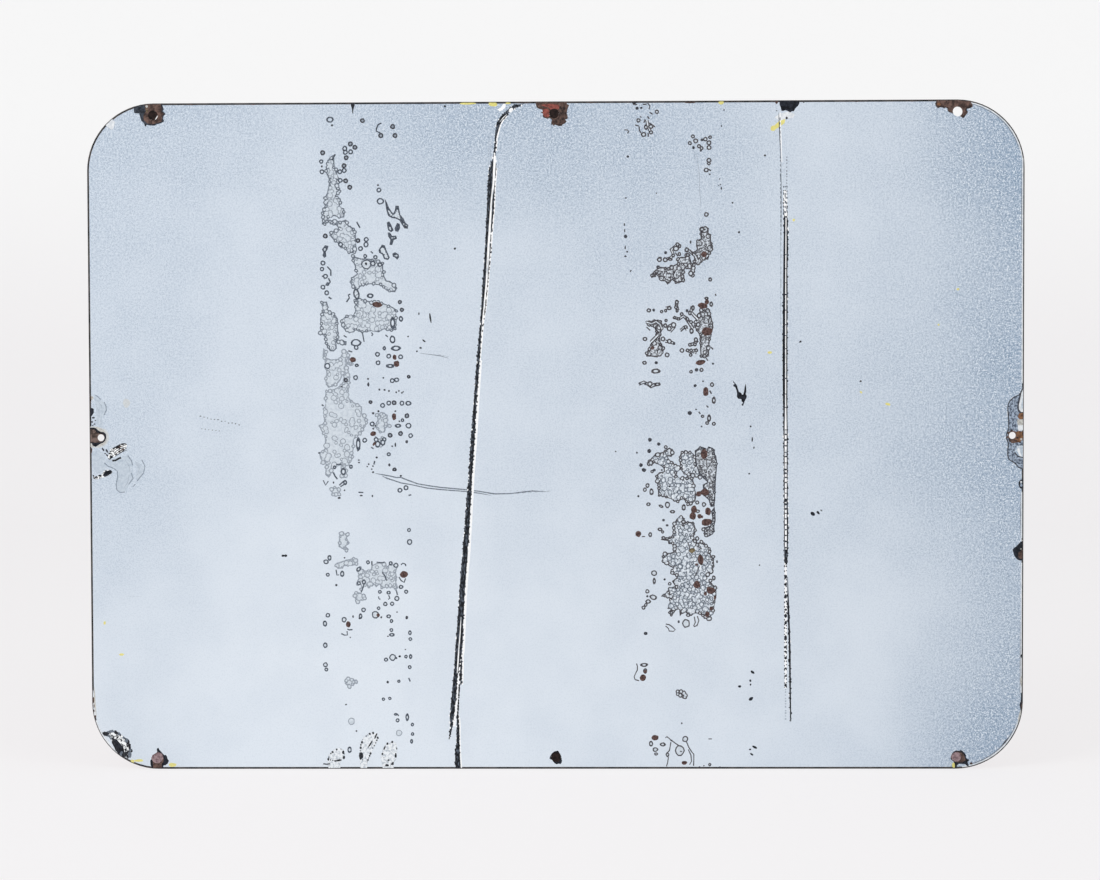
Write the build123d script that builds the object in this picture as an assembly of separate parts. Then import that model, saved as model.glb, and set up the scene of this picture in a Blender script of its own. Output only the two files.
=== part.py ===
from build123d import *
from math import cos, radians, sin
import os

os.makedirs("parts", exist_ok=True)

# An enamelled sheet-steel sign plate, standing upright. The face that lies against the door is
# at y = 0 and looks towards -Y. The front face is at y = thickness. The origin is the centre
# of the door-side face. All sizes are in millimetres.

# Blank
width = 610.0
height = 436.0
corner_radius = 44.0
steel_gauge = 1.2
enamel_coat = 0.25
ground_coat = 0.13
thickness = steel_gauge + 2 * enamel_coat
edge_round = 0.6

# Fixing holes. Six larger ones run along the top and bottom edges, two smaller ones stand at
# mid height.
row_hole_dia = 6.4
row_edge_distance = 7.8
column_edge_distance = 43.4
side_hole_dia = 4.6
side_edge_distance = 7.4
hole_rim_bevel = 0.25

# Depths of the chips and scrapes. A shallow one stops at the dark ground coat, a deep one
# shows the steel.
chip_depth = enamel_coat - ground_coat
bare_depth = enamel_coat
scrape_depth = 0.15
spall_depth = 0.06
past_edge = 2.0
# How far a chip's wall runs in for each millimetre that it goes down, and the least share of
# a mitre that is followed at a sharp corner.
chip_wall_run = 0.7
sharpest_mitre = 0.45

right = width / 2
left = -right
top = height / 2
bottom = -top
row_z = top - row_edge_distance
column_x = right - column_edge_distance
side_x = right - side_edge_distance

# Chip outlines round the holes are given from the hole's centre, as (across, up). A point at
# top_run or side_run lies off the plate, past the edge that is nearest to the hole.
top_run = row_edge_distance + past_edge
side_run = side_edge_distance + past_edge

top_left_chip = [
    (-12.7, top_run), (-12.2, 1.7), (-10.9, 1.3), (-8.9, 1.3), (-8.4, -0.7), (-7.6, -3.4),
    (-5.9, -5.0), (-5.2, -7.0), (-4.4, -7.4), (-4.2, -6.2), (-1.9, -6.6), (1.1, -6.7),
    (2.6, -5.9), (5.1, -5.2), (7.1, -4.2), (7.4, -3.2), (6.6, -2.4), (7.2, -0.4), (8.4, 0.8),
    (7.6, 1.8), (6.6, 2.7), (7.3, 3.8), (6.6, 5.8), (6.0, 7.3), (6.2, top_run),
]
top_left_bare = [
    (-4.9, top_run), (-5.2, 5.8), (-4.6, 2.8), (-6.2, -0.2), (-6.0, -3.0), (-3.9, -5.2),
    (-0.4, -5.9), (2.6, -5.1), (5.8, -4.0), (5.9, -2.2), (6.4, 0.0), (7.2, 1.0), (5.6, 2.4),
    (6.2, 4.1), (5.2, 6.8), (5.4, top_run),
]
top_middle_chip = [
    (-12.5, top_run), (-12.0, 6.8), (-11.8, 5.4), (-11.3, 3.8), (-10.0, 3.0), (-8.0, 2.5),
    (-6.8, 2.0), (-7.0, 1.1), (-8.6, 0.9), (-8.3, 0.2), (-7.1, 0.0), (-7.4, -1.8),
    (-7.0, -2.6), (-5.4, -3.2), (-4.2, -3.6), (-3.2, -3.0), (-2.2, -3.5), (-1.5, -4.2),
    (-1.9, -5.8), (-2.0, -7.6), (-1.2, -7.2), (-0.4, -8.2), (0.6, -7.3), (2.8, -8.2),
    (5.0, -8.2), (5.6, -7.2), (7.0, -6.6), (8.2, -5.3), (7.2, -4.0), (8.8, -3.6),
    (8.9, -2.2), (8.3, -0.2), (8.5, 1.8), (8.9, 3.2), (9.8, 5.2), (8.3, 6.2),
    (8.6, top_run),
]
top_middle_bare = [
    (-8.9, top_run), (-9.3, 6.2), (-11.0, 4.9), (-10.4, 3.9), (-7.3, 3.2), (-5.9, 1.9),
    (-6.4, 0.6), (-6.4, -1.6), (-5.0, -2.4), (-3.4, -2.2), (-1.0, -3.4), (-0.9, -6.0),
    (0.8, -6.6), (4.6, -7.0), (6.8, -5.2), (7.4, -2.6), (7.6, 0.8), (8.0, 4.3), (7.2, 5.8),
    (7.4, top_run),
]
top_right_chip = [
    (-14.2, top_run), (-14.0, 6.4), (-14.7, 5.4), (-14.4, 3.8), (-13.0, 2.1), (-11.3, 2.7),
    (-9.8, 2.5), (-8.8, 1.9), (-7.9, 2.5), (-6.7, 1.8), (-6.4, 0.1), (-5.4, -0.6),
    (-4.3, -0.9), (-2.6, -1.7), (0.9, -2.8), (2.2, -3.6), (3.6, -4.5), (4.4, -3.6),
    (5.4, -2.2), (6.7, -0.4), (5.8, 0.8), (6.0, 1.6), (7.4, 1.9), (9.0, 2.5), (9.8, 3.3),
    (9.4, 4.8), (8.6, 5.5), (8.9, top_run),
]
top_right_bare = [
    (-13.0, top_run), (-13.3, 5.6), (-13.0, 3.8), (-11.1, 3.6), (-8.1, 3.6), (-5.6, 2.3),
    (-5.2, 0.8), (-3.6, 0.4), (-1.6, -0.6), (2.8, -2.0), (3.6, -2.8), (5.0, -0.6),
    (4.4, 1.8), (6.4, 3.0), (8.2, 3.6), (7.8, 5.1), (8.2, top_run),
]
bottom_left_chip = [
    (-4.4, -top_run), (-4.3, -7.0), (-5.2, -5.4), (-5.4, -2.2), (-4.4, -1.2), (-4.3, 0.3),
    (-2.9, 2.0), (-1.4, 2.8), (-0.7, 3.6), (-1.1, 4.8), (-0.7, 5.9), (0.2, 6.2), (0.6, 5.0),
    (1.8, 3.7), (2.8, 2.6), (4.0, 1.3), (4.8, 1.6), (5.6, 0.7), (6.1, -1.2), (7.0, -2.4),
    (6.2, -4.2), (4.6, -5.4), (3.4, -5.5), (3.2, -6.4), (4.4, -7.2), (4.6, -top_run),
]
bottom_left_bare = [
    (-3.2, -top_run), (-3.6, -5.0), (-4.0, -1.8), (-3.7, 0.4), (-2.2, 1.8), (0.0, 2.4),
    (2.0, 1.4), (3.3, -0.6), (3.4, -2.6), (2.2, -4.4), (2.0, -top_run),
]
bottom_middle_chip = [
    (-2.8, -1.6), (-3.4, -1.8), (-4.4, -1.0), (-4.2, -0.1), (-3.0, 0.4), (0.0, 2.0),
    (2.6, 0.4), (3.6, -0.6), (3.6, -1.6), (3.9, -2.1), (3.7, -3.4), (3.0, -4.6),
    (1.6, -4.4), (0.3, -4.8), (-1.0, -4.1), (-2.2, -2.8),
]
bottom_right_chip = [
    (-1.0, -top_run), (-0.9, -4.8), (-2.0, -2.8), (-3.7, -1.5), (-3.5, 0.4), (-2.8, 2.2),
    (-1.4, 3.7), (0.2, 4.3), (2.1, 4.0), (2.6, 4.6), (3.7, 4.3), (5.4, 2.8), (6.4, 1.2),
    (6.4, -0.6), (7.4, -1.4), (8.5, -1.7), (8.4, -2.6), (7.4, -3.1), (7.7, -4.1),
    (8.4, -6.2), (7.0, -6.0), (5.9, -4.8), (3.4, -4.6), (1.6, -4.6), (0.4, -5.8),
    (0.9, -top_run),
]
bottom_right_bare = [
    (-1.0, -2.9), (-0.8, 0.4), (-1.2, 2.8), (0.6, 3.5), (2.8, 3.4), (4.6, 2.2), (5.4, 0.4),
    (6.2, -2.2), (4.0, -3.6), (1.0, -3.6),
]
left_chip = [
    (-side_run, 6.8), (-6.4, 6.7), (-4.4, 6.8), (-3.0, 6.2), (-1.6, 4.9), (-0.2, 4.0),
    (2.2, 3.7), (3.5, 2.2), (3.6, 0.2), (2.9, -1.8), (1.6, -3.2), (0.0, -3.8), (-2.0, -5.0),
    (-3.4, -6.0), (-5.4, -5.0), (-6.0, -3.6), (-side_run, -3.8),
]
left_bare = [
    (-side_run, 6.0), (-4.2, 5.7), (-2.8, 3.8), (-1.6, 3.0), (0.0, 2.9), (1.8, 2.2),
    (2.5, 0.2), (1.4, -2.2), (-0.6, -2.9), (-3.0, -3.2), (-side_run, -2.8),
]
# The worn patch at the right-hand hole reaches the edge between three islands of sound coat.
right_chip = [
    (side_run, 33.0), (6.8, 31.0), (5.4, 28.0), (3.9, 26.2), (1.0, 25.0), (-1.3, 23.0),
    (-2.6, 21.0), (-3.1, 18.0), (-2.8, 14.0), (-2.6, 10.0), (-2.4, 5.0), (-3.0, 3.0),
    (-3.8, 1.0), (-3.8, -2.0), (-2.6, -5.0), (-3.0, -9.0), (-3.0, -13.0), (-2.3, -15.5),
    (-0.1, -17.0), (2.0, -18.3), (3.9, -20.7), (5.9, -21.5), (side_run, -22.0),
    (side_run, -14.8), (3.4, -13.4), (1.4, -11.0), (1.6, -8.4), (4.4, -6.2),
    (side_run, -6.0), (side_run, 2.4), (4.0, 2.6), (3.4, 6.0), (3.0, 10.0),
    (side_run, 10.4), (side_run, 14.4), (5.6, 15.0), (4.2, 18.0), (4.6, 22.0), (5.6, 26.0),
    (6.6, 28.4), (side_run, 30.0),
]
right_bare = [
    (-2.6, 2.4), (0.0, 3.2), (2.4, 2.5), (4.6, 1.8), (side_run, 1.8), (side_run, -3.6),
    (5.4, -3.0), (2.4, -4.6), (-0.4, -5.2), (-1.8, -3.8), (-2.8, -1.0),
]
right_bare_upper = [
    (side_run, 13.8), (5.4, 14.0), (3.8, 13.0), (3.8, 11.6), (5.4, 11.0), (side_run, 10.9),
]

# Chips at the corners are given from the corner of the box round the plate, as (in from the
# side edge, in from the top or bottom edge).
bottom_corner_chip = [
    (6.0, 24.2), (8.5, 23.9), (10.0, 25.0), (13.0, 25.7), (15.5, 25.0),
    (18.0, 23.7), (20.0, 22.0), (22.0, 20.4), (24.0, 18.3), (25.0, 16.0), (25.5, 13.0),
    (26.7, 12.0), (25.4, 11.0), (25.2, 9.0), (23.5, 7.5), (21.5, 8.0), (19.0, 9.1),
    (17.0, 9.5), (15.5, 12.5), (14.0, 16.0), (12.5, 18.7), (11.0, 21.0), (9.0, 22.0),
]
top_corner_chip = [
    (10.5, 12.5), (13.5, 15.0), (15.5, 16.8), (17.0, 16.8), (18.2, 15.0), (18.5, 12.0),
    (15.0, 7.5),
]

# Chips along an edge are given as (along the edge from the plate's centre line, in from it).
top_edge_chip = [
    (146.2, -past_edge), (146.3, 3.0), (147.0, 4.5), (147.5, 6.8), (148.6, 7.0),
    (150.0, 6.5), (151.5, 7.0), (153.2, 8.0), (154.3, 7.2), (155.6, 7.2), (156.4, 5.5),
    (158.2, 3.8), (159.2, 2.0), (159.4, -past_edge),
]
tapered_chip = [
    (-132.4, -past_edge), (-132.2, 2.4), (-131.6, 4.2), (-131.3, 7.2), (-130.8, 7.2),
    (-130.6, 4.4), (-129.8, 2.4), (-129.7, -past_edge),
]
top_nick = [(143.0, -past_edge), (143.4, 1.6), (144.3, 2.6), (145.3, 1.6), (145.6, -past_edge)]
left_edge_chip = [
    (19.6, -past_edge), (19.6, 1.8), (19.0, 3.0), (16.5, 3.0), (14.8, 2.0), (13.6, 1.0),
    (13.4, -past_edge),
]
left_lower_chip = [
    (-5.6, -past_edge), (-6.0, 1.0), (-7.5, 1.8), (-9.5, 1.6), (-10.5, 0.9),
    (-10.8, -past_edge),
]
right_edge_chip = [
    (-28.4, -past_edge), (-28.8, 2.2), (-30.5, 3.4), (-33.0, 3.2), (-34.6, 2.2),
    (-35.0, -past_edge),
]
right_round_chip = [
    (-68.4, -past_edge), (-69.2, 1.8), (-70.6, 3.2), (-72.4, 4.8), (-73.2, 6.2),
    (-74.6, 7.2), (-76.2, 6.6), (-78.0, 6.2), (-79.6, 5.2), (-81.0, 4.0), (-81.6, 2.2),
    (-81.8, -past_edge),
]
right_round_bare = [
    (-75.2, -past_edge), (-75.0, 1.4), (-76.4, 3.0), (-78.6, 3.2), (-80.2, 2.4),
    (-81.0, -past_edge),
]

# Thin flakes that came off the bottom edge and left a frosted hollow.
left_spall = [
    (-149.4, -past_edge), (-150.2, 6.0), (-149.4, 9.4), (-146.0, 12.5), (-142.5, 14.0),
    (-139.6, 12.8), (-138.8, 10.0), (-139.2, 7.6), (-141.0, 6.0), (-142.0, 4.0),
    (-141.4, -past_edge),
]
middle_spall = [
    (-128.4, -past_edge), (-128.9, 6.5), (-128.9, 12.0), (-128.6, 16.0), (-127.2, 19.5),
    (-125.0, 22.0), (-122.5, 23.6), (-120.0, 24.2), (-117.5, 23.0), (-116.6, 20.5),
    (-118.0, 17.0), (-120.0, 13.5), (-121.4, 10.0), (-122.8, 7.0), (-124.0, 4.0),
    (-124.3, -past_edge),
]
right_spall = [
    (-113.6, -past_edge), (-115.0, 8.0), (-113.6, 13.5), (-111.0, 17.0), (-107.5, 18.2),
    (-104.8, 17.0), (-104.2, 13.5), (-104.8, 10.0), (-105.3, 6.0), (-107.0, 3.5),
    (-106.4, -past_edge),
]

# A forked chip in the open field, from the plate's centre.
forked_chip = [
    (116.2, 36.2), (116.1, 35.0), (117.0, 34.2), (116.2, 33.2), (116.2, 32.6), (117.4, 32.0),
    (118.2, 30.0), (118.6, 28.0), (118.5, 25.6), (119.4, 24.4), (121.4, 24.1), (121.6, 22.6),
    (122.6, 21.8), (121.5, 20.8), (121.8, 19.9), (122.6, 19.8), (123.2, 21.5),
    (123.6, 22.8), (124.8, 25.0), (125.0, 26.2), (124.2, 27.4), (124.7, 29.0),
    (124.6, 31.5), (124.3, 34.4), (123.6, 32.4), (123.2, 29.5), (122.6, 27.2), (122.0, 27.0),
    (121.2, 28.4), (119.9, 28.9), (119.2, 31.0), (118.6, 33.0), (117.8, 34.2), (117.2, 34.7),
]
# Pits beside the second scrape, as (across, up, length, width, turn of the length from level).
pits = [
    (167.8, -50.8, 3.4, 2.4, -35.0), (171.4, -50.0, 2.8, 1.6, -50.0),
    (128.6, -154.4, 3.2, 1.8, -40.0), (127.2, -160.0, 1.8, 1.4, 90.0),
    (127.3, -162.6, 1.4, 1.1, 90.0), (127.6, -171.9, 3.4, 2.2, 35.0),
    (120.2, -163.8, 2.2, 1.6, 0.0), (130.0, -203.8, 3.8, 1.6, -28.0),
    (127.0, -205.2, 1.5, 1.2, 20.0), (128.0, -208.4, 2.6, 1.3, -32.0),
    (-178.6, -77.6, 2.0, 1.6, 10.0),
]
pit_corners = 8

# Two struck bars beside the left-hand hole, from the hole's centre.
upper_bar = [
    (6.1, -7.5), (8.6, -6.2), (11.6, -4.6), (13.8, -3.6), (16.6, -3.6), (17.4, -5.0),
    (16.4, -7.0), (15.0, -8.6), (12.6, -9.6), (10.6, -11.0), (9.1, -12.2), (7.2, -13.4),
    (5.6, -14.0), (4.2, -12.5), (5.6, -10.0),
]
lower_bar = [
    (-5.4, -25.5), (-2.4, -25.0), (0.6, -23.8), (1.6, -21.8), (4.1, -20.8), (6.6, -21.2),
    (7.6, -22.6), (6.4, -24.0), (3.6, -25.4), (0.6, -26.4), (-3.4, -27.4), (-4.9, -26.6),
]

# The long scrapes. Each row is (down from the top edge, left side, right side). The first one
# hooks over near the top edge. Its branch, given up from the bottom edge, leaves the plate there.
long_scrape = [
    (1.8, -25.5, -20.0), (3.8, -28.6, -23.6), (6.5, -31.4, -29.0),
    (9.5, -34.6, -31.0), (12.0, -36.6, -33.4), (15.0, -37.6, -35.2),
    (19.0, -38.2, -36.4), (24.0, -38.7, -37.6), (32.0, -39.2, -38.2),
    (38.0, -40.4, -38.0), (43.0, -42.6, -37.8), (58.0, -43.5, -39.0),
    (68.0, -43.9, -39.3), (83.0, -44.6, -40.7), (98.0, -45.5, -41.8),
    (108.0, -46.1, -42.8), (118.0, -47.0, -43.6), (133.0, -47.9, -45.0),
    (143.0, -48.6, -46.8), (168.0, -51.0, -49.1), (193.0, -52.9, -50.9), (218.0, -55.0, -52.4),
    (243.0, -56.7, -54.3), (268.0, -58.8, -55.7), (293.0, -60.8, -57.2),
    (318.0, -62.9, -59.4), (343.0, -64.6, -60.6), (358.0, -66.0, -61.2),
    (368.0, -66.5, -63.3), (378.0, -67.5, -64.8), (388.0, -68.3, -65.3),
    (400.0, -69.7, -66.7), (408.0, -69.6, -67.7), (413.0, -70.0, -69.0),
    (416.5, -70.5, -70.1),
]
long_scrape_branch = [
    (35.6, -65.2, -64.4), (32.5, -65.0, -63.6), (28.0, -65.3, -63.4),
    (18.0, -65.4, -63.4), (10.0, -66.3, -63.2), (4.0, -66.4, -62.8),
    (-past_edge, -65.4, -62.6),
]
long_scrape_strand = [
    (362.0, -62.3, -61.4), (370.0, -62.7, -61.4), (376.0, -63.2, -61.6),
    (380.5, -62.8, -61.9),
]
second_scrape = [
    (60.0, 149.2, 149.9), (66.0, 148.8, 150.4), (72.0, 149.1, 151.4),
    (83.0, 149.0, 151.8), (98.0, 149.2, 151.8), (110.0, 149.2, 151.4),
    (128.0, 148.6, 151.6), (158.0, 148.4, 151.4), (198.0, 148.7, 151.3), (218.0, 148.8, 151.6),
    (243.0, 149.0, 151.6), (263.0, 149.1, 151.7), (278.0, 149.1, 152.0),
    (296.0, 149.3, 151.6), (302.0, 149.6, 151.2),
]
second_scrape_branch = [
    (318.0, 151.4, 152.0), (330.0, 151.3, 152.3), (343.0, 151.9, 152.9),
    (358.0, 152.4, 153.4), (378.0, 152.6, 153.6), (393.0, 152.8, 153.8),
    (404.5, 153.2, 153.9),
]
# The end of the second scrape breaks into short pits, given as (down from the top edge, length).
chatter_x = 150.3
chatter_width = 1.5
chatter_pits = [
    (310.0, 3.0), (315.0, 2.4), (322.8, 3.2), (331.5, 1.6), (335.5, 3.0), (340.0, 2.6),
    (350.0, 4.0), (356.0, 1.8), (359.0, 1.4), (363.2, 2.0), (370.0, 1.4),
    (375.0, 1.4), (381.0, 2.2),
]


def from_hole(outline, hole_x, hole_z):
    return [(hole_x + u, hole_z + v) for u, v in outline]


def from_corner(outline, corner_z, inward):
    return [(left + u, corner_z + inward * v) for u, v in outline]


def from_top(outline):
    return [(u, top - v) for u, v in outline]


def from_bottom(outline):
    return [(u, bottom + v) for u, v in outline]


def from_side(outline, edge_x, inward):
    return [(edge_x + inward * v, u) for u, v in outline]


def band(rows):
    down_left = [(a, top - down) for down, a, b in rows]
    up_right = [(b, top - down) for down, a, b in reversed(rows)]
    return down_left + up_right


def oval(x, z, length, pit_width, turn):
    points = []
    for corner in range(pit_corners):
        step = 360 / pit_corners * corner
        spoke = Vector(length / 2 * cos(radians(step)), pit_width / 2 * sin(radians(step)))
        spoke = spoke.rotate(Axis.Z, turn)
        points.append((x + spoke.X, z + spoke.Y))
    return points


def chatter_outline(z, length):
    half = chatter_width / 2
    near = chatter_x - half
    far = chatter_x + half
    return [
        (near, z - length / 4), (near, z + length / 4), (chatter_x, z + length / 2),
        (far, z + length / 4), (far, z - length / 4), (chatter_x, z - length / 2),
    ]


def inset(outline, gap):
    """The outline drawn in by the gap, each corner moved along its own mitre."""
    points = [Vector(x, z) for x, z in outline]
    ring = list(zip(points[-1:] + points[:-1], points, points[1:] + points[:1]))
    area = sum(a.X * b.Y - b.X * a.Y for a, b, c in ring)
    inward = 1 if area > 0 else -1
    moved = []
    for before, here, after in ring:
        side_in = (here - before).normalized()
        side_out = (after - here).normalized()
        normal_in = Vector(-side_in.Y, side_in.X) * inward
        normal_out = Vector(-side_out.Y, side_out.X) * inward
        mitre = (normal_in + normal_out).normalized()
        reach = gap / max(mitre.dot(normal_in), sharpest_mitre)
        moved.append(here + mitre * reach)
    return [(point.X, point.Y) for point in moved]


def sunk(outline, depth):
    """A recess with sloping walls, cut from the door-side face to the given depth."""
    floor = inset(outline, depth * chip_wall_run)
    mouth_face = Plane.XZ * make_face(Polyline(*outline, close=True))
    floor_face = Plane.XZ.offset(-depth) * make_face(Polyline(*floor, close=True))
    return loft([mouth_face, floor_face], ruled=True)


def drills(places, diameter):
    faces = [Plane.XZ * Pos(x, z) * Circle(diameter / 2) for x, z in places]
    return [extrude(face, amount=-thickness) for face in faces]


# Blank with rounded corners. The coat rolls over both edges of the sheet.
blank = extrude(Plane.XZ * RectangleRounded(width, height, corner_radius), amount=-thickness)
rims = blank.edges().group_by(Axis.Y)
blank = fillet(rims[0] + rims[-1], edge_round)

# Eight holes. The coat slopes into them on the sound front face.
row_places = [(x, z) for z in (row_z, -row_z) for x in (-column_x, 0.0, column_x)]
side_places = [(-side_x, 0.0), (side_x, 0.0)]
plate = blank - drills(row_places, row_hole_dia) - drills(side_places, side_hole_dia)
front_rims = plate.edges().filter_by(GeomType.CIRCLE).filter_by(
    lambda e: abs(e.center().Y - thickness) < hole_rim_bevel and e.radius < row_hole_dia
)
plate = chamfer(front_rims, hole_rim_bevel)

# Chips that stop at the ground coat, and the long scrapes.
shallow = [
    from_hole(top_left_chip, -column_x, row_z),
    from_hole(top_middle_chip, 0.0, row_z),
    from_hole(top_right_chip, column_x, row_z),
    from_hole(bottom_left_chip, -column_x, -row_z),
    from_hole(bottom_middle_chip, 0.0, -row_z),
    from_hole(bottom_right_chip, column_x, -row_z),
    from_hole(left_chip, -side_x, 0.0),
    from_hole(right_chip, side_x, 0.0),
    from_hole(upper_bar, -side_x, 0.0),
    from_hole(lower_bar, -side_x, 0.0),
    from_corner(bottom_corner_chip, bottom, 1),
    from_corner(top_corner_chip, top, -1),
    from_top(top_edge_chip),
    from_top(top_nick),
    from_top(tapered_chip),
    forked_chip,
    from_side(left_edge_chip, left, 1),
    from_side(left_lower_chip, left, 1),
    from_side(right_edge_chip, right, -1),
    from_side(right_round_chip, right, -1),
]
# Places inside the chips where the ground coat has gone too.
bare = [
    from_hole(top_left_bare, -column_x, row_z),
    from_hole(top_middle_bare, 0.0, row_z),
    from_hole(top_right_bare, column_x, row_z),
    from_hole(bottom_left_bare, -column_x, -row_z),
    from_hole(bottom_right_bare, column_x, -row_z),
    from_hole(left_bare, -side_x, 0.0),
    from_hole(right_bare, side_x, 0.0),
    from_hole(right_bare_upper, side_x, 0.0),
    from_side(right_round_bare, right, -1),
]
spalls = [from_bottom(outline) for outline in (left_spall, middle_spall, right_spall)]
scrapes = [
    band(long_scrape),
    band([(height - up, a, b) for up, a, b in long_scrape_branch]),
    band(long_scrape_strand),
    band(second_scrape),
    band(second_scrape_branch),
]
plate = plate - [sunk(outline, spall_depth) for outline in spalls]
plate = plate - [sunk(outline, chip_depth) for outline in shallow]
plate = plate - [sunk(oval(*pit), chip_depth) for pit in pits]
plate = plate - [sunk(outline, bare_depth) for outline in bare]
plate = plate - [sunk(outline, scrape_depth) for outline in scrapes]
plate = plate - [sunk(chatter_outline(top - down, length), scrape_depth) for down, length in chatter_pits]

sign_plate = plate.solid()
sign_plate.label = "sign_plate"
export_step(sign_plate, "parts/sign_plate.step")

box = sign_plate.bounding_box()
print("size", box.size, "min", box.min, "solids", len(plate.solids()))
print("valid", sign_plate.is_valid, "volume", sign_plate.volume, "faces", len(sign_plate.faces()))
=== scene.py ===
# %% [markdown]
# # An enamelled kick sign, seen from the side that lay against the door
#
# The sign is one sheet of steel under a blue-black ground coat and a thin sprayed coat of white
# enamel. It has eight fixing holes, chips that go down to the ground coat or to the rusty steel,
# two long scrapes, and two upright bands of old pad marks. The CAD model is the frame here: it
# says how large the sheet is and where its holes and chips lie. Blender adds what the eye reads
# as enamel, rust and wear.

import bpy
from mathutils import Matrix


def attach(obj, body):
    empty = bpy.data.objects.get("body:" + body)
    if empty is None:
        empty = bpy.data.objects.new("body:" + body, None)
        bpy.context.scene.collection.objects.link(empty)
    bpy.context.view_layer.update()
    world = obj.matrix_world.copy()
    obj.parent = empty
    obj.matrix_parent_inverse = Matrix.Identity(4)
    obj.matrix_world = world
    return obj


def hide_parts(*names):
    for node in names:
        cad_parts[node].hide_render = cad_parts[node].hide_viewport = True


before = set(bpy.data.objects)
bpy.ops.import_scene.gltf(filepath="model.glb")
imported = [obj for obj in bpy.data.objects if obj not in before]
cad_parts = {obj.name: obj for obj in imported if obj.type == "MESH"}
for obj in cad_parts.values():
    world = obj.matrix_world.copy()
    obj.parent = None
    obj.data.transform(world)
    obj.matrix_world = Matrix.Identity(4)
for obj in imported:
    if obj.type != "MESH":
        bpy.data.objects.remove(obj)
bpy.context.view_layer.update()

# %% [markdown]
# Blender works in metres, but a sheet-metal worker thinks in millimetres. All lengths below are
# written in millimetres, and they are turned into metres at the moment a mesh is made.
#
# One random generator with a fixed seed draws every uneven edge, so each run gives the same sign.

# %% Tools used from here on
import math
import random
from collections import namedtuple

import bmesh
import bpy
from mathutils import Matrix, Vector
from mathutils.geometry import delaunay_2d_cdt

MM = 0.001
draw = random.Random(11)

# %% [markdown]
# ## The camera
#
# The camera stands 1.7 m from the sheet, a little above its middle, with a long lens. A long lens
# keeps the sheet's sides almost parallel. The three small turns are the pan, the tilt and the
# roll of a camera on a stand that isn't quite level.

# %% Camera
camera_place = (28.34, -1694.06, 59.08)
camera_pan, camera_tilt, camera_roll = 1.0719, -2.0705, 0.1855
lens_length, sensor_width = 85, 36

camera_data = bpy.data.cameras.new("camera")
camera_data.lens = lens_length
camera_data.sensor_width = sensor_width
camera = bpy.data.objects.new("camera", camera_data)
bpy.context.scene.collection.objects.link(camera)
level_view = Matrix.Rotation(math.radians(90), 4, "X")
camera.matrix_world = (
    Matrix.Translation(Vector(camera_place) * MM)
    @ Matrix.Rotation(math.radians(camera_pan), 4, "Z")
    @ Matrix.Rotation(math.radians(camera_tilt), 4, "X")
    @ Matrix.Rotation(math.radians(camera_roll), 4, "Y")
    @ level_view
)
bpy.context.scene.camera = camera
print("camera at", tuple(round(v, 3) for v in camera.location))

# %% [markdown]
# ## The sheet's sizes
#
# These are the sizes of the CAD part. The flat of the back ends where the rolled edge begins, so
# the flat sheet is smaller than the sign by the edge radius on every side.

# %% Sheet and holes
width, height, thickness = 610, 436, 1.7
corner_radius = 44
edge_round = 0.6
row_z, column_x, side_x = 210.2, 261.6, 297.6
row_hole_radius, side_hole_radius = 3.2, 2.3
hole_rim_bevel = 0.25
chip_depth, bare_depth, scrape_depth, spall_depth = 0.12, 0.25, 0.15, 0.06
chip_wall_run = 0.7
past_edge = 2
top, right = height / 2, width / 2
top_run = top - row_z + past_edge
side_run = right - side_x + past_edge

holes = [(x, z, row_hole_radius) for z in (row_z, -row_z) for x in (-column_x, 0, column_x)]
holes += [(x, 0, side_hole_radius) for x in (-side_x, side_x)]
print("holes:", len(holes))

# %% [markdown]
# ## Marks
#
# Everything that shows on the back is a closed outline with a finish: a chip, a line of old
# adhesive, a spot of rust. The outlines are laid down in order, as a signwriter lays paint, and
# the last one wins. A recess also has a floor outline with a depth. The back is then cut along
# all outlines at once, so that each edge between two finishes is a real edge of the mesh.

# %% A mark, and the list they go into
Mark = namedtuple("Mark", "outline finish depth")
marks = []


def area_of(outline):
    """The outline's area, above zero if it runs anticlockwise."""
    return sum(x0 * z1 - x1 * z0 for (x0, z0), (x1, z1) in zip(outline, outline[1:] + outline[:1])) / 2


def anticlockwise(outline):
    return list(outline) if area_of(outline) > 0 else list(outline)[::-1]


def lay(outline, finish, depth=0):
    """Adds a mark to the list."""
    marks.append(Mark(anticlockwise(outline), finish, depth))


sharpest_mitre = 0.45


def inset(outline, gap):
    """The outline drawn in by the gap, each corner along its mitre."""
    points = [Vector(p) for p in anticlockwise(outline)]
    moved = []
    for before, here, after in zip(points[-1:] + points[:-1], points, points[1:] + points[:1]):
        side_in = (here - before).normalized()
        side_out = (after - here).normalized()
        normal = Vector((-side_in.y, side_in.x))
        mitre = normal + Vector((-side_out.y, side_out.x))
        mitre.normalize()
        moved.append(tuple(here + mitre * gap / max(mitre.dot(normal), sharpest_mitre)))
    return moved


def sink(outline, depth, wall, floor):
    """A recess: the mouth has the wall's finish, and the drawn-in floor has its depth."""
    lay(outline, wall)
    lay(inset(outline, depth * chip_wall_run), floor, depth)


# %% [markdown]
# The first marks run all the way round the sheet: a dark band at the edge, where the white coat
# stops short of the rim, and the enamel inside it.

# %% Band along the edge
arc_steps = 16
dark_band = 0.7


def rounded_sheet(reach):
    """The rounded outline of the sheet, drawn in by the reach."""
    radius = corner_radius - reach
    centre_x, centre_z = right - corner_radius, top - corner_radius
    points = []
    for quarter, (cx, cz) in enumerate([(centre_x, centre_z), (-centre_x, centre_z),
                                        (-centre_x, -centre_z), (centre_x, -centre_z)]):
        for step in range(arc_steps + 1):
            angle = math.pi / 2 * (quarter + step / arc_steps)
            points.append((cx + radius * math.cos(angle), cz + radius * math.sin(angle)))
    return points


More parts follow.
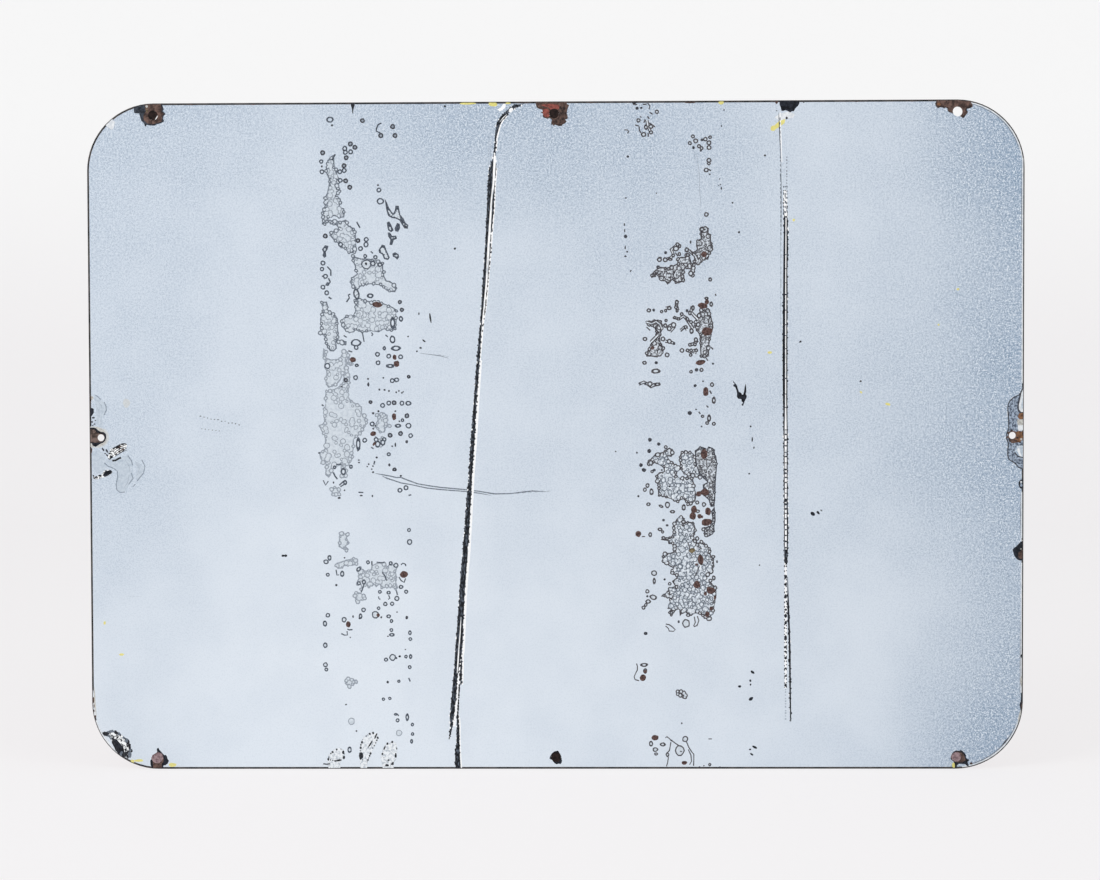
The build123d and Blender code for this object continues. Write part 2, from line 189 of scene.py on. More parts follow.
lay(rounded_sheet(edge_round), "rim")
lay(rounded_sheet(edge_round + dark_band), "enamel")


# %% [markdown]
# The pad marks are rings and cells a few millimetres across. A ring is an uneven oval with a
# smaller one inside it. A stroke is a thin band along a few points.

# %% Ovals, rings and strokes
ring_corners = 10
ring_wobble, spot_wobble, stroke_wobble = 0.09, 0.14, 0.15
line_outside, line_inside, least_inside = 0.4, 1.9, 0.16
pointed_end = 0.25


def oval(x, z, across, up, turn=0, wobble=ring_wobble, corners=ring_corners):
    """An uneven oval round a point."""
    lean = math.radians(turn)
    points = []
    for corner in range(corners):
        angle = math.tau * corner / corners
        swell = 1 + draw.uniform(-wobble, wobble)
        u = across / 2 * math.cos(angle) * swell
        v = up / 2 * math.sin(angle) * swell
        points.append((x + u * math.cos(lean) - v * math.sin(lean),
                       z + u * math.sin(lean) + v * math.cos(lean)))
    return points


def ring(x, z, across=3, up=None, turn=0, line=0.95, finish="ring_line", inside="enamel"):
    """A hollow ring of old adhesive, a little of its line outside the size given."""
    up = up or across
    outer = oval(x, z, across + line_outside * line, up + line_outside * line, turn)
    lay(outer, finish)
    small = max(1 - line_inside * line / (min(across, up) + line_outside * line), least_inside)
    lay([(x + (u - x) * small, z + (v - z) * small) for u, v in outer], inside)


def spot(x, z, across, up=None, turn=0, finish="soot"):
    """A filled spot."""
    lay(oval(x, z, across, up or across, turn, spot_wobble), finish)


def stroke(points, breadth=0.6, finish="ring_line", pointed=False):
    """A thin band along the points, with its ends drawn in a little."""
    path = [Vector(p) for p in points]
    left, right_side = [], []
    for place, here in enumerate(path):
        before = path[max(place - 1, 0)]
        after = path[min(place + 1, len(path) - 1)]
        along = (after - before).normalized()
        at_end = place in (0, len(path) - 1)
        half = breadth / 2 * (pointed_end if at_end and pointed else 1)
        half *= 1 + draw.uniform(-stroke_wobble, stroke_wobble)
        side = Vector((-along.y, along.x)) * half
        left.append(tuple(here + side))
        right_side.append(tuple(here - side))
    lay(left + right_side[::-1], finish)


def rings(places, **look):
    """Many rings with one look. A place is (across, up) and, for some, width, height and turn."""
    for place in places:
        ring(*place, **look)


def spots(places, finish):
    for place in places:
        spot(*place, finish=finish)


def strokes(lines, breadth, finish="ring_line", pointed=False):
    for line in lines:
        stroke(line, breadth, finish, pointed)


# %% [markdown]
# Where a pad sat unevenly, the residue left a patch: a dark line round the outside, a pale film
# inside, and thin webs where bubbles met. The outline is laid down first, all dark. Then round
# spots of film clear the inside, each one as large as it can be without touching the line. The
# webs and the lobes along the edge are bubbles, laid in two passes: first all walls, then all
# insides, so bubbles that overlap run into each other.
#
# The places come from lists. Each outline or path is a plain list of numbers that take turns:
# across, up, across, up. `pairs` makes points of them, and `paths` does so for many lists.

# %% Patches of residue
clearing_pitch, least_clearing, clearing_gap = 1.15, 0.3, 0.75
grid_row, grid_shake = 0.87, 0.3


def pairs(numbers):
    """The points of a list that gives across, up, across, up."""
    return list(zip(numbers[::2], numbers[1::2]))


def paths(*lists):
    return [pairs(numbers) for numbers in lists]


def inside_outline(x, z, outline):
    """True if the point lies in the outline."""
    crossings = 0
    for (x0, z0), (x1, z1) in zip(outline, outline[1:] + outline[:1]):
        if (z0 > z) != (z1 > z) and x < x0 + (z - z0) / (z1 - z0) * (x1 - x0):
            crossings += 1
    return crossings % 2 == 1


def room_at(x, z, outline):
    """How far the point is from the outline."""
    nearest = 1e9
    for (x0, z0), (x1, z1) in zip(outline, outline[1:] + outline[:1]):
        along_x, along_z = x1 - x0, z1 - z0
        share = ((x - x0) * along_x + (z - z0) * along_z) / (along_x * along_x + along_z * along_z)
        share = min(1, max(0, share))
        nearest = min(nearest, math.hypot(x - x0 - share * along_x, z - z0 - share * along_z))
    return nearest


def shaken_grid(outline, pitch):
    """Points on a grid in the outline, each one moved a little."""
    xs, zs = [p[0] for p in outline], [p[1] for p in outline]
    points = []
    rows = int((max(zs) - min(zs)) / (pitch * grid_row)) + 2
    columns = int((max(xs) - min(xs)) / pitch) + 2
    for row in range(rows):
        for column in range(columns):
            x = min(xs) + pitch * (column + 0.5 * (row % 2))
            x += draw.uniform(-grid_shake, grid_shake) * pitch
            z = min(zs) + pitch * grid_row * row + draw.uniform(-grid_shake, grid_shake) * pitch
            if inside_outline(x, z, outline):
                points.append((x, z))
    return points


def along_outline(outline, pitch):
    """Points along a closed outline, about a pitch apart."""
    points = []
    for (x0, z0), (x1, z1) in zip(outline, outline[1:] + outline[:1]):
        steps = max(1, round(math.hypot(x1 - x0, z1 - z0) / pitch))
        points += [(x0 + (x1 - x0) * k / steps, z0 + (z1 - z0) * k / steps) for k in range(steps)]
    return points


def patch(outline, line=0.75, rim="residue", inside="residue_film", web="residue_faint", webs=0.6,
          web_line=0.55, pitch=2.5, lobes=0.7):
    """A patch with its line, its film, its webs and small lobes along the edge."""
    lay(outline, rim)
    cleared = []
    by_room = [(room_at(x, z, outline), x, z) for x, z in shaken_grid(outline, clearing_pitch)]
    for room, x, z in sorted(by_room, reverse=True):
        radius, size = room - line, 2.1 * (room - line)
        if radius <= least_clearing:
            continue
        if all(math.hypot(x - u, z - v) > clearing_gap * r for r, u, v in cleared):
            cleared.append((radius, x, z))
            lay(oval(x, z, size, size, draw.uniform(0, 90), 0.05, 7 if radius < 1.5 else 11), inside)
    bubbles = []
    for x, z in shaken_grid(outline, pitch):
        if draw.random() < webs and room_at(x, z, outline) > line + 0.4:
            bubbles.append((x, z, pitch * draw.uniform(0.35, 0.85), web, web_line))
    for x, z in along_outline(inset(outline, 0.7), pitch):
        if draw.random() < lobes and inside_outline(x, z, outline):
            bubbles.append((x, z, pitch * draw.uniform(0.35, 0.7), rim, line))
    inner = []
    for x, z, radius, finish, wall in bubbles:
        across, up, turn = 2 * radius * draw.uniform(0.75, 1.25), 2 * radius, draw.uniform(0, 180)
        outer = oval(x, z, across, up, turn, 0.12, 8)
        lay(outer, finish)
        small = max(1 - 2 * wall / min(across, up), 0.15)
        inner.append([(x + (u - x) * small, z + (v - z) * small) for u, v in outer])
    for small_outline in inner:
        lay(small_outline, inside)
    return len(cleared) + len(inner)


# %% [markdown]
# ## The left band of pad marks
#
# This band runs the full height of the sheet, about 130 mm left of the middle. The patches come
# first, from the top down, and the loose rings lie over them.

# %% Left band, patches in the upper half
left_upper_patches = paths(
    [-143.4, 184.2, -145.6, 182.4, -147.9, 180.5, -148.2, 176.3, -149.4, 173.6, -147, 168.4, -147, 164.5,
     -148.2, 159.3, -149.8, 156, -149.6, 150.8, -151.9, 146.2, -151.2, 141.1, -151.8, 138.9,
     -149.6, 138.2, -147.7, 140.4, -146.9, 143.2, -143.5, 144.3, -140.4, 143, -137, 143.3, -136.6, 146.9,
     -137, 149.2, -140.2, 150.2, -138.8, 152.8, -139.2, 155.6, -142.3, 157.4, -140.6, 158.7,
     -139.4, 160.1, -140.9, 164, -140.1, 166.6, -141.4, 171.4, -141.4, 174.8, -143, 176.2,
     -143.2, 179.5],
    [-147.3, 141.5, -143.1, 141.5, -139.8, 140.8, -136.2, 141.8, -134.5, 140.1, -135, 138.7,
     -130.5, 136.1, -129.6, 134, -129.4, 128, -129.5, 124.8, -129.8, 120, -134.3, 120.1, -136.8, 122.7,
     -139.7, 123.7, -140.8, 126.2, -143.3, 127.7, -145.3, 130.1, -146.7, 131.6, -146, 133.8,
     -142.6, 135.3, -141, 136.4, -142.2, 138.2, -146.4, 138.9],
    [-132.3, 119.5, -129.4, 117.6, -126.1, 116.6, -121, 116.5, -118.8, 115.9, -114.9, 115.1,
     -111.7, 113.8, -111.8, 109.4, -110.5, 107.8, -111.5, 105.9, -109.6, 102.2, -107.3, 101.9,
     -104.3, 99.5, -102.7, 97.1, -104.1, 94.5, -107.9, 94.8, -110, 95.8, -113.8, 99, -120.3, 99.8,
     -124.8, 99, -128.2, 97.4, -129.2, 95.8, -132, 97.8, -133.6, 101.3, -132.5, 104.1, -129, 106.5,
     -130.2, 108.5, -130.3, 111.7, -132, 115],
    [-131.5, 89.8, -127.4, 90.2, -123.5, 89.5, -119.6, 88.5, -115, 88.8, -110.5, 86.9, -105.9, 85,
     -102.3, 82.5, -103.6, 80.7, -103, 77.8, -103.6, 70.4, -106.5, 69, -111.5, 70.4, -115, 68.4,
     -120, 69.2, -125.7, 68.2, -130, 69.8, -134, 68, -137.8, 70.6, -139.8, 75.9, -135.9, 79.7,
     -131.5, 79.7, -130.3, 82.4, -130.3, 87.6],
    [-152.9, 88.6, -151.4, 84.3, -152.5, 80.4, -153.2, 77.2, -152.8, 71.3, -153.8, 67.8, -150.5, 66.2,
     -149.8, 61, -147, 56.2, -144.5, 56, -142.3, 58, -142.7, 62, -136.3, 60, -135.8, 62.7, -141.2, 63.5,
     -141.2, 68, -141.5, 71.3, -141.5, 77.4, -144.2, 81, -148.3, 82.7, -147.7, 85, -148.7, 88.6],
)
cleared_spots = sum(patch(outline) for outline in left_upper_patches)
print("spots and bubbles in the upper left patches:", cleared_spots)

# %% Left band, patches in the lower half
left_lower_patches = paths(
    [-129.8, -87.2, -128.4, -85.2, -124.5, -87.6, -121, -86.5, -120.5, -84, -116.5, -82.2, -112, -82.5,
     -110, -84.5, -107.8, -82, -105.6, -83.4, -104.2, -82.6, -102.9, -84.6, -104.6, -88, -103.9, -91.5,
     -104.3, -95.5, -103, -98.6, -104.8, -101, -106.6, -98.6, -110.5, -98.4, -114.3, -99.6,
     -115.2, -96.5, -117.6, -98.6, -119.6, -95.6, -122.3, -99.4, -124.3, -96.6, -125.5, -98.3,
     -126.9, -101, -128.2, -100, -126.8, -96, -129.9, -96.9, -130.2, -94.4, -128.6, -91.5],
)
left_film_patches = paths(
    [-149.8, 30.6, -150.6, 25.4, -149.9, 21.8, -151.4, 18.5, -151, 9.6, -154.4, 7.6, -153.2, 4.6,
     -150.6, 0.2, -150.6, -4, -150.8, -8, -154.6, -10, -153.8, -13.5, -152.3, -17.2, -150, -17.6,
     -150.6, -24.6, -148.2, -26.6, -146.7, -24.6, -145.2, -20, -140.4, -18.4, -140.3, -25.6,
     -138.2, -26.9, -136.3, -25.6, -136.2, -21.8, -137.2, -19.2, -133.6, -16.4, -131.9, -13,
     -132.5, -10.5, -131.2, -6, -131.6, -1.6, -127.1, 2, -125.5, 4.6, -122.6, 9.4, -122.9, 11.5,
     -124, 14.6, -126.1, 15.6, -126.1, 20, -131.2, 22.8, -134.2, 25.2, -135.2, 27.6, -134.2, 35.5,
     -133.6, 39.4, -135.3, 41.8, -137.4, 40, -138.6, 35.6, -141.4, 33, -145, 31.2],
    [-151.2, 58.4, -148.6, 56, -149.6, 52.2, -146, 50.8, -140.6, 51.4, -138.2, 56.8, -135, 56,
     -134, 51.8, -131.4, 47.6, -133.6, 46.2, -135.8, 48.2, -135.4, 42.6, -138.2, 41.4, -140.2, 37,
     -143, 33.8, -148.2, 32.2, -149.6, 34.6, -150.4, 38.4, -149, 42.6, -150.8, 45.6, -150.2, 50,
     -151.8, 53.4],
    [-117.6, 15, -113.6, 15.8, -109.2, 14.6, -109.8, 9, -107.2, 8.2, -107.6, 6.6, -110.4, 6.4, -111.2, 3,
     -114.6, 2.6, -116.4, 5.2, -118.6, 7.6, -116.6, 9.6, -115.8, 12.6],
    [-117.6, 1, -115.4, -1.4, -112.8, 0.4, -110.6, -1.4, -111.4, -4.8, -114.2, -6.8, -116.8, -4.6,
     -118.2, -2.4], [-147.2, -33.8, -145.8, -38.2, -140.7, -38, -141, -33.8, -144.5, -32.1],
    [-144.4, -84.2, -143.6, -82.4, -140.3, -81.4, -137, -80.2, -133.8, -79.8, -132, -78.6, -130.4, -80.4,
     -129.5, -83.5, -133, -84.3, -138.4, -84.5, -139.5, -86, -142.8, -86.4, -143.2, -85],
    [-131.2, -101.2, -132.1, -104, -131.1, -107.5, -129.6, -108.9, -127.9, -107.2, -126, -107.3,
     -124.3, -105.8, -125.3, -103.7, -127.6, -102],
    [-140.4, -62, -141.7, -65, -142.1, -71.8, -138.6, -73.8, -136.9, -75.2, -135.2, -73.6, -137.2, -71.4,
     -135.4, -70, -134.7, -69, -136.3, -66.9, -136.4, -65.7, -135, -64.4, -135.6, -62.9, -138.8, -63],
    [-136.4, -157.8, -131.3, -159.4, -130, -160.7, -135.6, -164.5, -138.6, -161.7, -138, -159.4],
)
cleared_spots = sum(patch(outline, rim="residue_faint") for outline in left_lower_patches)
cleared_spots += sum(patch(outline, rim="residue_faint", webs=0.3) for outline in left_film_patches)
print("spots and bubbles in the lower left patches:", cleared_spots)

# %% Left band, loose rings in the upper half
left_upper_rings = [
    (-146, 206.8, 4.8, 3.6), (-136.4, 188, 3, 3.4), (-136, 185.6), (-132.6, 185.9), (-151.8, 179.7, 2.6),
    (-151.4, 173), (-136.9, 173.8), (-139.8, 173), (-139.5, 167.4), (-114.3, 161.1),
    (-113.4, 153.7, 4.8, 4), (-122.7, 128.9), (-122.9, 125.6, 3.2, 3.6), (-126.6, 123),
    (-123.5, 118.1, 2.4), (-116.8, 117.3, 2.6, 2.8), (-139.5, 125.8), (-151.1, 113.7),
    (-151.8, 109.8, 2.6), (-149.5, 105), (-148, 100, 1.8, 2.2), (-151.2, 98), (-148.8, 94.3),
    (-120.3, 92.2, 4.2, 2.8), (-100.4, 77.2, 2.6, 3.6), (-105.8, 74.6, 3, 8),
]
left_upper_dark_rings = [
    (-124.8, 206.1), (-112.8, 196.4), (-105.1, 202.1), (-103.6, 196.3), (-132.7, 191), (-129.8, 188.8),
    (-135.5, 182.1), (-150.9, 185.4), (-137, 176.9), (-135.9, 167.1), (-133.3, 162.9), (-149.5, 131.2),
    (-128.1, 128.2, 2.8), (-101, 88.1, 2.6), (-99.7, 83, 2.6),
]
left_upper_loops = paths(
    [-110.6, 155.6, -109.2, 153.2, -107.8, 149.6, -106.2, 147.2, -105, 145.8, -103.9, 148, -103.6, 150.8,
     -101.4, 150.8, -101, 148, -100.4, 145, -98.4, 142.6, -97, 139.6, -95.2, 138.2, -95.6, 135.8,
     -97.8, 136, -99.4, 138.4, -101, 141.2, -103.4, 142.4, -106, 142.8, -108.4, 144.2, -109.4, 147.6,
     -110, 151.2],
    [-109.2, 140, -107.6, 140.6, -106, 137.6, -104.8, 134.8, -106.4, 133.6, -108.4, 134.8, -109, 137.4],
    [-104.2, 136.2, -102.6, 139.6, -100.8, 139, -100.6, 136.2, -101.8, 133.8, -103.8, 134.2],
    [-108.8, 133.4, -107.2, 133.4, -105.8, 131.2, -103.2, 131.4, -102.6, 129.4, -104.8, 128.4,
     -105.8, 125.2, -107.6, 125.4, -107, 128.6, -108.4, 130.8],
    [-114.8, 122, -112.5, 125.6, -110.6, 125, -109.4, 121.5, -107.4, 117.2, -108.6, 115.4, -111.2, 116.2,
     -112.4, 119.2, -114.4, 120.2],
    [-105.8, 119.6, -104, 120.6, -101.6, 119.2, -101.4, 117.2, -102.6, 115.6, -103.8, 117,
     -105.4, 117.6],
    [-151.8, 122.6, -149.6, 125.4, -147.4, 124.8, -148, 122.6, -149.2, 120.8, -148.8, 118, -150.2, 117,
     -151.4, 118.6, -150.8, 120.8],
    [-130.6, 97.2, -128.4, 96.6, -127.2, 93.6, -127.4, 90.2, -129.4, 89.8, -131.2, 91.8, -131.6, 94.6],
)
left_upper_spots = [
    (-144.6, 203.1, 1.5), (-151.4, 176.5, 1.4), (-114.9, 164.2, 1.3), (-122.9, 112.7, 1.2),
    (-136.8, 186.9, 1.2), (-97.1, 137.2, 1.6), (-151.3, 105.1, 1.2),
]
left_upper_strokes = paths(
    [-112.4, 204.5, -114.7, 203.3, -115.7, 200.7, -115.8, 199.2, -113, 198],
    [-144.8, 180.6, -142.6, 184.4], [-128.9, 140.4, -126.8, 136.5], [-119.9, 121.2, -118.4, 119.9],
    [-148.3, 111.4, -146, 108.8, -146, 105.4], [-147.6, 91.5, -145.7, 90.3],
    [-133.3, 93.5, -134.6, 92.8, -134, 90.9, -135.9, 88.2],
    [-147.6, 103.8, -146.4, 101.4, -147.8, 99.6, -149.6, 99.4],
)
rings(left_upper_rings)
rings(left_upper_dark_rings, line=1.05, finish="residue_dark", inside="residue_faint")
for outline in left_upper_loops:
    patch(outline, 0.85, "ring_line", "residue_film", webs=0, lobes=0)
ring(-122.8, 112.7, 6.4, 6.2, line=0.8, inside="residue_film")
ring(-113.9, 112.5, 3.8, 2.6, inside="residue_film")
ring(-118.5, 113.3, 3.4, 3.2, inside="residue_film")
spots(left_upper_spots, "residue_dark")
strokes(left_upper_strokes, 0.95)

# %% Left band, loose rings round the middle
left_middle_rings = [
    (-129.9, 61.8, 7, 4.6), (-129.7, 58.6), (-129.4, 46.9, 2.6, 2), (-148.6, 46.6, 3.8), (-130.2, 38.9),
    (-106, 63.8, 3.6, 5), (-111.4, 58, 2, 2.6), (-103.6, 58, 6.3, 3.2), (-115.8, 54.1), (-115.5, 48.5),
    (-108.5, 52.8), (-100.7, 52.4), (-107.6, 46.5, 5.8, 2.4), (-106.2, 36.8), (-103.4, 37.4),
    (-112.7, 20.7), (-108.6, 22.3), (-100, 22.1), (-95.8, 22.1, 4, 3), (-99.7, 11, 2.2),
    (-102.6, 7.4, 4.2, 2.4), (-95.8, 7.4, 3.6), (-117, -1.7), (-111.8, -1.7), (-124.5, -2), (-94.5, 0.9),
    (-128.8, -4.6, 2.8, 9.6), (-108.8, -11.2, 2.4), (-97.6, -33.2), (-101.6, -34.8),
    (-133.6, -19.3, 2.2, 2.6), (-144.3, -19.7, 2, 2.2), (-137.5, -29.6, 2.2, 3.2),
    (-116, -4.6, 3.4, 4.6), (-112.6, -3.6, 3, 4), (-119.6, 8.6, 3), (-138.6, -22.6, 3.2, 4.6),
]
left_middle_dark_rings = [
    (-105.1, 22.4), (-96.8, 13.9), (-101, 2.3), (-107.9, 1.2), (-120.6, 22.9, 2.4, 2.2),
    (-105.1, -21.2, 2.8, 2.2), (-95.5, 39.4, 2.2), (-136.6, 37.3, 2.6, 2.8),
]
left_middle_spots = [
    (-139.3, 33.1, 1.2), (-122.1, 38.1, 1.4), (-121.9, 34.5, 1.5, 3), (-112.1, 38.7, 1.2),
    (-114.7, 31.1, 1.4), (-111.3, 30.8, 1.4), (-108.5, 30.1, 1.3), (-103.7, 29.3, 1.3),
    (-102, 30.1, 1.2), (-100, 28.9, 1.2), (-99.1, 29.6, 1), (-115.4, 16.9, 1.4), (-104.4, 16.9, 1.3),
    (-118.9, 15.6, 1.6), (-101.7, 10.3, 1.2), (-118.9, 5.5, 1.3), (-117.4, 7.4, 1.2), (-106.5, -6, 1.2),
    (-97, -3, 1.8, 2.2), (-116.7, -13.3, 1.6, 1.4), (-108.4, -18.2, 1.6, 2), (-101, -25.4, 1.6, 1.4),
    (-122, -17.7, 1.2), (-123, -19.2, 1), (-119.2, -19, 1.2), (-120, -21, 1.1), (-119.2, -23, 1.4),
    (-128.4, -15, 1.4, 0.9), (-128.3, -16.6, 1.4, 1.1), (-127, -38.2, 1.9, 1.2),
    (-119.7, -38.5, 1.1, 1.6), (-145.1, -29.7, 1.1, 1.5), (-141.5, -39.7, 2.1, 1.5),
    (-137.9, -34.8, 1.1), (-104.5, -5, 1.1, 3.2), (-154.5, -10.2, 1.2),
]
left_middle_strokes = paths(
    [-137.9, 66.5, -135.9, 65.2], [-125.7, 68.7, -124.5, 62.3], [-134.9, 56.5, -132.3, 55.7],
    [-119.8, 68.4, -118.8, 67.2, -119.6, 66.2], [-110.6, 66.8, -109, 65.4], [-152.5, 21.4, -151.2, 20.4],
    [-118, -15.6, -118.6, -18], [-120.3, -6.6, -118.7, -7.6], [-145.2, -23, -144, -25.6, -142.5, -27.5],
    [-141.4, -31.5, -138.4, -28.8], [-140.6, -32.4, -137.6, -30.6],
    [-151.8, -28.2, -150.3, -31.4, -148.5, -28.7], [-143.2, -17.8, -139.8, -17.6],
    [-128.8, -36.1, -125.6, -36.2], [-96, -38.2, -94.2, -37.8],
)
rings(left_middle_rings)
rings(left_middle_dark_rings, line=1.05, finish="residue_dark", inside="residue_faint")
spots(left_middle_spots, "residue_dark")
strokes(left_middle_strokes, 0.9)

# %% Left band, loose rings in the lower half
left_lower_rings = [
    (-148, -79, 2.4, 3.8), (-150.4, -81.6, 3.4, 3), (-149.2, -90.1, 2.4), (-139.7, -89.6, 2.6, 4),
    (-129, -86.5, 2.4, 3.6, -30), (-122.8, -82, 2.2, 2.6), (-108, -82.6, 2.2, 2.6), (-104.5, -84, 3),
    (-128.8, -95.8, 2.4), (-101.2, -98.2, 3.2, 2.4), (-97.9, -101.4, 2.4, 2.6),
    (-115.1, -101.4, 2.4, 2.2), (-109.4, -101.9, 2.8, 2.2), (-104, -105.7, 3.2), (-107.1, -109.2, 2.6),
    (-116, -112.2, 2.2), (-125.9, -113.2, 2.8, 3), (-127.9, -117.4, 2.2, 3.4),
    (-118.2, -116.4, 4.6, 4.8), (-109.4, -117.5, 3, 2.4), (-107.6, -120.6, 2, 2.4),
    (-149.4, -116.7, 2.8), (-151.3, -122.2, 2.6, 3.8), (-151.2, -136.5, 2.8, 3.4),
    (-138.7, -119.6, 3.2, 3.4), (-107.7, -126.5, 2.2), (-95.6, -128.3, 2.2, 3),
    (-95.3, -132.5, 2.2, 2.4), (-111.3, -146, 2.6, 2.4), (-98.2, -144, 2, 2.2), (-95.2, -144, 2, 3),
    (-151.2, -149.3), (-150.6, -152.5, 2.2, 2.4), (-95.8, -60.9, 2.4), (-95.4, -68.7, 3.2, 4),
    (-103, -160.2, 1.8, 2), (-95.8, -150.9, 2.2, 2.4), (-113.2, -172, 2), (-109, -171.5, 2),
    (-97.6, -183.9, 2.2, 5), (-104, -186, 2.4, 2.6), (-105.2, -182, 2.2, 1.6), (-94.2, -188.7, 2, 2.2),
    (-94.2, -195, 2, 2.2), (-94.8, -199.8, 1.8, 3), (-135.6, -205.4, 2.6, 4), (-111.6, -109.4, 2.8, 2.6),
    (-107, -144.5, 4.2, 4.6), (-107.4, -129.6, 3.6, 2.2), (-125.6, -95, 2.4, 3.4),
]
left_lower_spots = [
    (-143.7, -97, 1.6), (-138.2, -79, 1.1), (-132.8, -117.7, 1.1, 1.9), (-114.3, -118.1, 1.4),
    (-97.6, -118.3, 1.9, 2.4), (-104, -114.7, 1.3, 0.9), (-134.7, -131.3, 0.9), (-110, -130.6, 1.2, 0.9),
    (-98.6, -139.3, 0.9), (-104.5, -145, 1.3), (-102.3, -143.8, 1.8, 1.6), (-110.3, -160.8, 1.8),
    (-131, -193, 1.2), (-128.5, -118.9, 1.6, 1.2),
]
left_lower_strokes = paths(
    [-120.3, -81.2, -120.2, -84], [-117.2, -81.9, -112, -82.4],
    [-101.2, -83.6, -99.8, -82.6, -98.2, -83.4, -98, -84.6],
    [-143.8, -86.8, -143.2, -90.4, -141.8, -90.2], [-127.4, -101.8, -126.4, -99, -125.4, -96.4],
    [-113.5, -88.6, -111.4, -91.6, -110.6, -94.2], [-109.4, -103.6, -108.6, -105.6, -109.8, -106.4],
    [-116, -104.4, -115.8, -105.8, -114.8, -106.4], [-104.3, -100.4, -103.6, -103.6],
    [-136.6, -125.8, -135.4, -126.4, -133.2, -126.2],
    [-140.6, -128.8, -138.6, -129.8, -136.6, -129.8, -136.8, -127.2], [-96.6, -158, -95.5, -160.4],
    [-138.4, -175.7, -137.2, -175.4], [-104.3, -181.6, -103.2, -183],
    [-102.6, -91.6, -101.2, -94, -99.2, -95.2, -98.2, -92.6],
)
rings(left_lower_rings, line=0.85, inside="residue_film")
spots(left_lower_spots, "residue_dark")
strokes(left_lower_strokes, 0.8)
rings([(-103, -194.3, 4, 4), (-134.3, -186.5, 4.2, 4.8)],
      line=0.6, finish="residue_faint", inside="residue_film")
print("marks so far:", len(marks))

# %% [markdown]
# ## The right band of pad marks
#
# This band is browner, because more of the steel under it has rusted through. Its patches are
# denser, and the strip nearest to the edge of the old pad is filled with small grains.

# %% Right band, patches
def dirt_on(outline, pitch, share):
    """Small dark grains strewn over a patch."""
    for x, z in shaken_grid(outline, pitch):
        if draw.random() < share:
            spot(x, z, draw.uniform(0.5, 1), draw.uniform(0.5, 1), finish="soot")


